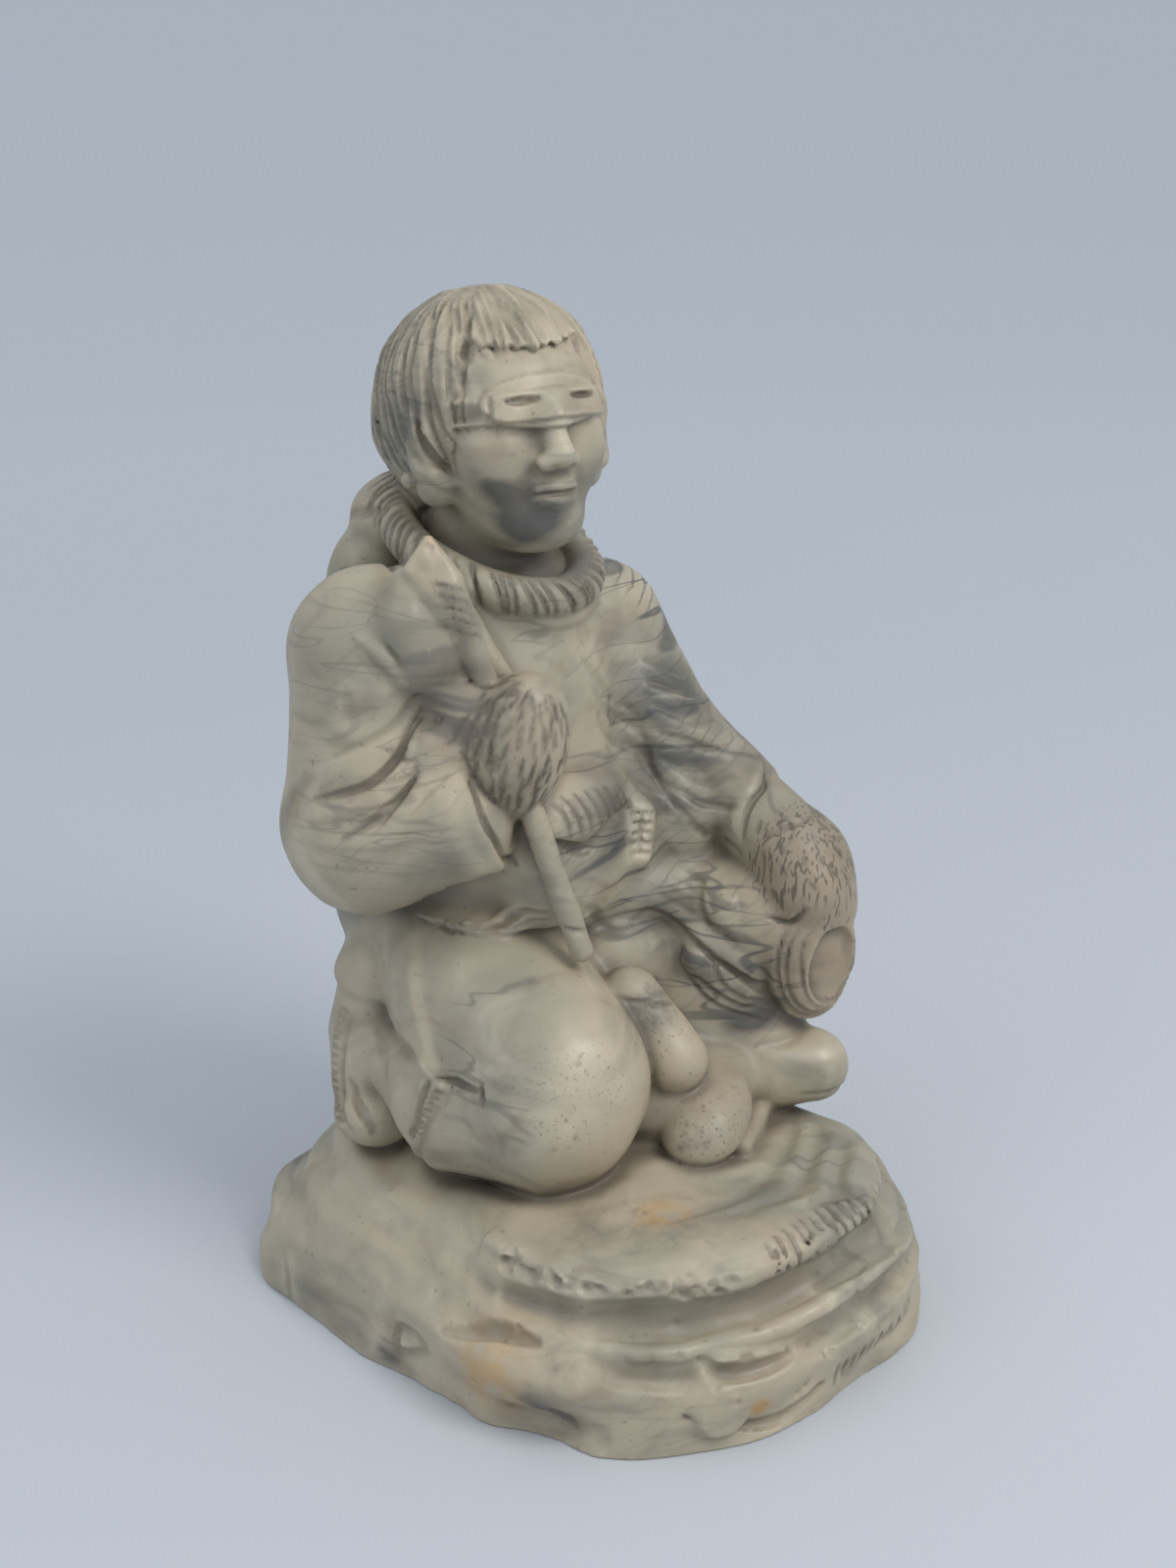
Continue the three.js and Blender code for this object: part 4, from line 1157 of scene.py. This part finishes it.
def stone_material(look):
    """Waxed stone: clouds, stains, veins and cracks, then a painted highlight on worn edges, painted shade
    in hollows and grooves, darker cut lines, specks, fur strokes and pits.
    """
    material = bpy.data.materials.new("soapstone")
    material.use_nodes = True
    n = Nodes(material)
    shader = material.node_tree.nodes["Principled BSDF"]
    place = n.add("ShaderNodeTexCoord").outputs["Object"]
    cloud = n.noise(place, 16, 4, warp=0.4)
    colour = n.tint(n.ramp(cloud, 0.38, 0.66), look.stone[:], look.cool[:])

    def over(share, name):
        nonlocal colour
        colour = n.tint(share, colour, getattr(look, name)[:])

    pale = n.ramp(n.noise(place, 34, 5, warp=0.8), 0.5, 0.78, 0, 0.6)
    over(pale, "cream")
    dusk = n.ramp(n.noise(place, 48, 6, stretch=(1, 1, 1.5), warp=0.8), 0.5, 0.72, 0, 0.42)
    over(dusk, "brown")
    smoke = n.ramp(n.noise(place, 26, 6, stretch=(0.7, 0.7, 1.4), warp=0.8), 0.52, 0.7, 0, 0.4)
    over(smoke, "vein")
    over(n.times(n.layer("brown"), 0.75), "brown")
    ochre = n.times(n.layer("ochre"), n.ramp(n.noise(place, 140, 4), 0.3, 0.6))
    over(ochre, "ochre")
    patch = n.ramp(n.noise(place, 40, 6, stretch=(0.45, 0.45, 1.8), warp=0.9), 0.42, 0.56)
    # dark stone patches, partly painted shade under the hems and on the face
    dark = n.times(n.layer("dark"), n.sum("ADD", n.times(patch, 0.75), 0.2))
    over(n.times(dark, 0.82), "vein")
    line = n.ramp(n.bands(place, 80, 6.0), 0.8, 0.98, 0, 0.6)
    line = n.times(line, n.ramp(n.noise(place, 40, 3), 0.4, 0.7))
    line = n.times(line, n.layer("vein"))
    over(line, "vein")
    for size in (30, 52):
        crack = n.noise(place, size, 2, stretch=(0.22, 0.3, 1.7), warp=0.5)
        crack = n.sum("ABSOLUTE", n.sum("SUBTRACT", crack, 0.5), 0.0)
        crack = n.times(n.ramp(crack, 0.003, 0.016, 0.75, 0), n.layer("vein"))
        over(crack, "vein")
    thread = n.noise(place, 14, 3, stretch=(0.5, 0.5, 1.6), warp=0.8)
    thread = n.sum("ABSOLUTE", n.sum("SUBTRACT", thread, 0.5), 0.0)
    thread = n.times(n.ramp(thread, 0.002, 0.010, 0.35, 0), n.ramp(cloud, 0.5, 0.62))
    over(thread, "vein")
    over(n.times(n.layer("pale"), 0.8), "cream")
    speck = n.ramp(n.noise(place, 420, 2), 0.68, 0.76, 0, 0.4)
    over(speck, "grime")
    # paler convex edges: wear, together with a painted highlight along the edges
    wear_and_highlight = n.ramp(n.layer("groove"), -0.1, -0.4, 0.0, 0.28)
    over(wear_and_highlight, "cream")
    # painted shade: darker where the stone is hollow over a wide reach, as in recesses and between parts
    hollow = n.ramp(n.layer("hollow"), 0.02, 0.5, 0.0, 0.8)
    over(hollow, "grime")
    # painted shade: darker where the stone is hollow close round, in creases and cut lines
    groove = n.ramp(n.layer("groove"), 0.1, 0.5, 0.0, 0.6)
    over(groove, "grime")
    # darker colour along the bottoms of cut grooves
    ink = n.times(n.layer("ink"), n.ramp(n.noise(place, 90, 3), 0.3, 0.6, 0.45, 0.85))
    over(ink, "grime")
    hair = n.ramp(n.noise(place, 900, 0, stretch=(1, 1, 0.17)), 0.57, 0.66, 0, 0.85)
    hair = n.times(hair, n.ramp(n.layer("fur"), 0.3, 0.5))
    over(hair, "grime")
    pits = n.ramp(n.noise(place, 850, 1), 0.62, 0.72, 0, 0.9)
    over(n.times(pits, n.layer("pits")), "grime")
    bump = n.add("ShaderNodeBump")
    fine = n.sum("ADD", n.noise(place, 900, 3), n.noise(place, 160, 3))
    n.put(bump, {"Height": fine, "Strength": 0.14, "Distance": 0.0006})
    gloss = n.ramp(n.noise(place, 55, 3), 0.35, 0.65, look.roughness - 0.06, look.roughness + 0.12)
    n.put(shader, {"Base Color": colour, "Normal": bump.outputs[0], "Roughness": gloss})
    shader.inputs["Specular IOR Level"].default_value = 0.45
    return material


# ---------- what a user may change ----------
def colour_of(name, description, value):
    """A colour that a user may change."""
    about = {"name": name, "description": description, "default": (*value, 1.0)}
    return FloatVectorProperty(**about, size=4, subtype="COLOR", min=0, max=1)


class HunterSizes(bpy.types.PropertyGroup):
    cell: FloatProperty(
        name="Grain of the work",
        description="Distance between two places of the clay, so the finest mark that can be cut",
        default=0.7,
        min=0.6,
        max=3.0,
    )
    triangles: IntProperty(
        name="Triangles",
        description="How many triangles the carved skin keeps",
        default=190000,
        min=20000,
        max=198000,
    )


class HunterLook(bpy.types.PropertyGroup):
    stone: colour_of("Stone", "Colour of most of the stone", (0.46, 0.392, 0.282))
    # cream also paints the highlight on convex edges
    cool: colour_of("Cool stone", "Greyer parts of the stone", (0.31, 0.29, 0.218))
    cream: colour_of("Cream", "Palest parts, and worn edges", (0.62, 0.545, 0.41))
    brown: colour_of("Brown", "Handled parts, such as the mittens", (0.27, 0.205, 0.14))
    ochre: colour_of("Ochre", "Rust-like stains", (0.50, 0.30, 0.12))
    vein: colour_of("Veins", "Blue-grey veins and clouds", (0.06, 0.063, 0.062))
    # grime colour: dirt on specks, pits and fur strokes, and also the painted shade in hollows, grooves
    # and cut lines
    grime: colour_of("Grime", "Dirt that has settled in grooves", (0.13, 0.105, 0.075))
    roughness: FloatProperty(
        name="Roughness",
        description="How dull the waxed surface is",
        default=0.42,
        min=0.0,
        max=1.0,
        subtype="FACTOR",
    )


class HunterStage(bpy.types.PropertyGroup):
    lens: FloatProperty(
        name="Lens", description="Focal length of the camera", default=49.5, min=10, max=200, unit="CAMERA"
    )
    key: FloatProperty(
        name="Key light", description="Power of the large soft light", default=8.5, min=0, unit="POWER"
    )
    fill: FloatProperty(
        name="Fill light", description="Power of the weaker light", default=1.7, min=0, unit="POWER"
    )
    sky: FloatProperty(name="Sky", description="Strength of the light all round", default=1.08, min=0)


# ---------- what makes it ----------
PIECE = "hunter_carved"


class CarveHunter(bpy.types.Operator):
    """Carves the hunter and the rock as one skin"""

    bl_idname = "hunter.carve"
    bl_label = "Carve the hunter"

    def execute(self, context):
        sizes = context.scene.hunter_sizes
        clay = sculpt(sizes.cell)
        points, faces = net(clay)
        low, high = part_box("hunter")
        middle = (points.min(0) + points.max(0)) / 2
        shift = np.array((low + high) / 2) / MM - middle
        shift[2] = 0
        piece = thinned(mesh_from("skin", (points + shift) * MM, faces), PIECE, sizes.triangles)
        if not piece.data.polygons:
            raise RuntimeError("the clay has no surface")
        piece.data.polygons.foreach_set("use_smooth", np.ones(len(piece.data.polygons), bool))
        tell(piece, clay, shift)
        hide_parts("hunter")
        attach(piece, "root")
        context.scene["hunter_shift"] = list(shift)
        return {"FINISHED"}


class FinishStone(bpy.types.Operator):
    """Gives the carving its waxed grey soapstone"""

    bl_idname = "hunter.finish_stone"
    bl_label = "Finish the stone"

    def execute(self, context):
        piece = bpy.data.objects[PIECE]
        piece.data.materials.clear()
        piece.data.materials.append(stone_material(context.scene.hunter_look))
        return {"FINISHED"}


# ---------- the stage, in metres ----------
FLOOR_REACH, FLOOR_LEVEL, FLOOR_RISE = 12, 1.5, 0.06
FLOOR_RINGS, FLOOR_SIDES = 49, 96
# the paper is darker near the middle: painted shade round the piece, lighter further out
PAPER_NEAR_SHADE, PAPER_FAR = (0.535, 0.56, 0.59, 1), (0.63, 0.66, 0.69, 1)
PAPER_CHANGE = (0.3, 1.5)  # the painted shade round the piece fades into the far tone between these ways from the middle
SKY = (0.62, 0.66, 0.72, 1)
LIT = (0, 0, 0.15)  # both lights face this place
LIGHTS = (
    ("key", (0.1, -0.9, 1.1), 0.6, (1.0, 0.98, 0.95)),
    ("fill", (-0.9, 0.2, 0.8), 0.8, (0.92, 0.96, 1.0)),
)
CAMERA = np.array([-449.4, -397.5, 366.2])  # in the sculpting sizes
CAMERA_HEADING, CAMERA_DROP = -48, 19.54
SENSOR = 36


def paper_floor():
    """A floor that is level round the piece, then as high as rise * (distance - level)^2."""
    rings = FLOOR_REACH * np.linspace(0, 1, FLOOR_RINGS) ** 2
    r, turn = np.meshgrid(rings, np.linspace(0, 2 * pi, FLOOR_SIDES + 1)[:-1], indexing="ij")
    high = FLOOR_RISE * np.maximum(r - FLOOR_LEVEL, 0) ** 2
    points = np.stack([r * np.cos(turn), r * np.sin(turn), high], -1).reshape(-1, 3)
    ids = np.arange(r.size).reshape(r.shape)
    ahead = np.roll(ids, -1, axis=1)
    quads = np.stack([ids[:-1], ids[1:], ahead[1:], ahead[:-1]], -1)[1:].reshape(-1, 4)
    fan = np.stack([np.zeros(FLOOR_SIDES, int), ids[1], ahead[1]], -1)
    mesh = bpy.data.meshes.new("floor")
    mesh.from_pydata(points.tolist(), [], quads.tolist() + fan.tolist())
    mesh.shade_smooth()
    paper = bpy.data.materials.new("paper")
    paper.use_nodes = True
    n = Nodes(paper)
    away = n.add("ShaderNodeVectorMath", operation="LENGTH")
    n.put(away, {0: n.add("ShaderNodeTexCoord").outputs["Object"]})
    # painted shade: darker paper near the middle, fading to the far tone
    colour = n.tint(n.ramp(away.outputs["Value"], *PAPER_CHANGE), PAPER_NEAR_SHADE, PAPER_FAR)
    n.put(paper.node_tree.nodes["Principled BSDF"], {"Base Color": colour, "Roughness": 0.8})
    mesh.materials.append(paper)
    return bpy.data.objects.new("floor", mesh)


class SetStage(bpy.types.Operator):
    """Sets the plain pale floor, the soft lights and the camera"""

    bl_idname = "hunter.set_stage"
    bl_label = "Set the stage"

    def execute(self, context):
        scene = context.scene
        stage = scene.hunter_stage
        shift = np.array(scene["hunter_shift"])
        floor = paper_floor()
        scene.collection.objects.link(floor)
        world = bpy.data.worlds.new("sky")
        world.use_nodes = True
        back = world.node_tree.nodes["Background"]
        back.inputs["Color"].default_value = SKY
        back.inputs["Strength"].default_value = stage.sky
        scene.world = world
        scene.view_settings.view_transform = "Standard"

        for name, place, size, colour in LIGHTS:
            lamp = bpy.data.lights.new(name, "AREA")
            lamp.size = size
            lamp.energy = getattr(stage, name)
            lamp.color = colour
            holder = bpy.data.objects.new(name, lamp)
            holder.location = place
            towards = Vector(LIT) - Vector(place)
            holder.rotation_euler = towards.to_track_quat("-Z", "Y").to_euler()
            scene.collection.objects.link(holder)

        lens = bpy.data.cameras.new("camera")
        lens.lens = stage.lens
        lens.sensor_width = SENSOR
        lens.clip_start = 0.01
        camera = bpy.data.objects.new("camera", lens)
        camera.location = (CAMERA + shift) * MM
        camera.rotation_euler = (radians(90 - CAMERA_DROP), 0, radians(CAMERA_HEADING))
        scene.collection.objects.link(camera)
        scene.camera = camera
        return {"FINISHED"}


class HunterPanel(bpy.types.Panel):
    """Sizes, colours and steps of the carving"""

    bl_idname = "VIEW3D_PT_hunter"
    bl_label = "Soapstone hunter"
    bl_space_type = "VIEW_3D"
    bl_region_type = "UI"
    bl_category = "Hunter"

    def draw(self, context):
        scene = context.scene
        for group in (scene.hunter_sizes, scene.hunter_look, scene.hunter_stage):
            box = self.layout.box()
            for name in group.__annotations__:
                box.prop(group, name)
        for step in STEPS:
            self.layout.operator(step.bl_idname)


GROUPS = {"hunter_sizes": HunterSizes, "hunter_look": HunterLook, "hunter_stage": HunterStage}
STEPS = (CarveHunter, FinishStone, SetStage)


def register():
    for kind in (*GROUPS.values(), *STEPS, HunterPanel):
        bpy.utils.register_class(kind)
    for name, group in GROUPS.items():
        setattr(bpy.types.Scene, name, PointerProperty(type=group))


def unregister():
    for name in GROUPS:
        delattr(bpy.types.Scene, name)
    for kind in reversed((*GROUPS.values(), *STEPS, HunterPanel)):
        bpy.utils.unregister_class(kind)


def main():
    register()
    bpy.ops.hunter.carve()
    bpy.ops.hunter.finish_stone()
    bpy.ops.hunter.set_stage()


if __name__ == "__main__":
    main()
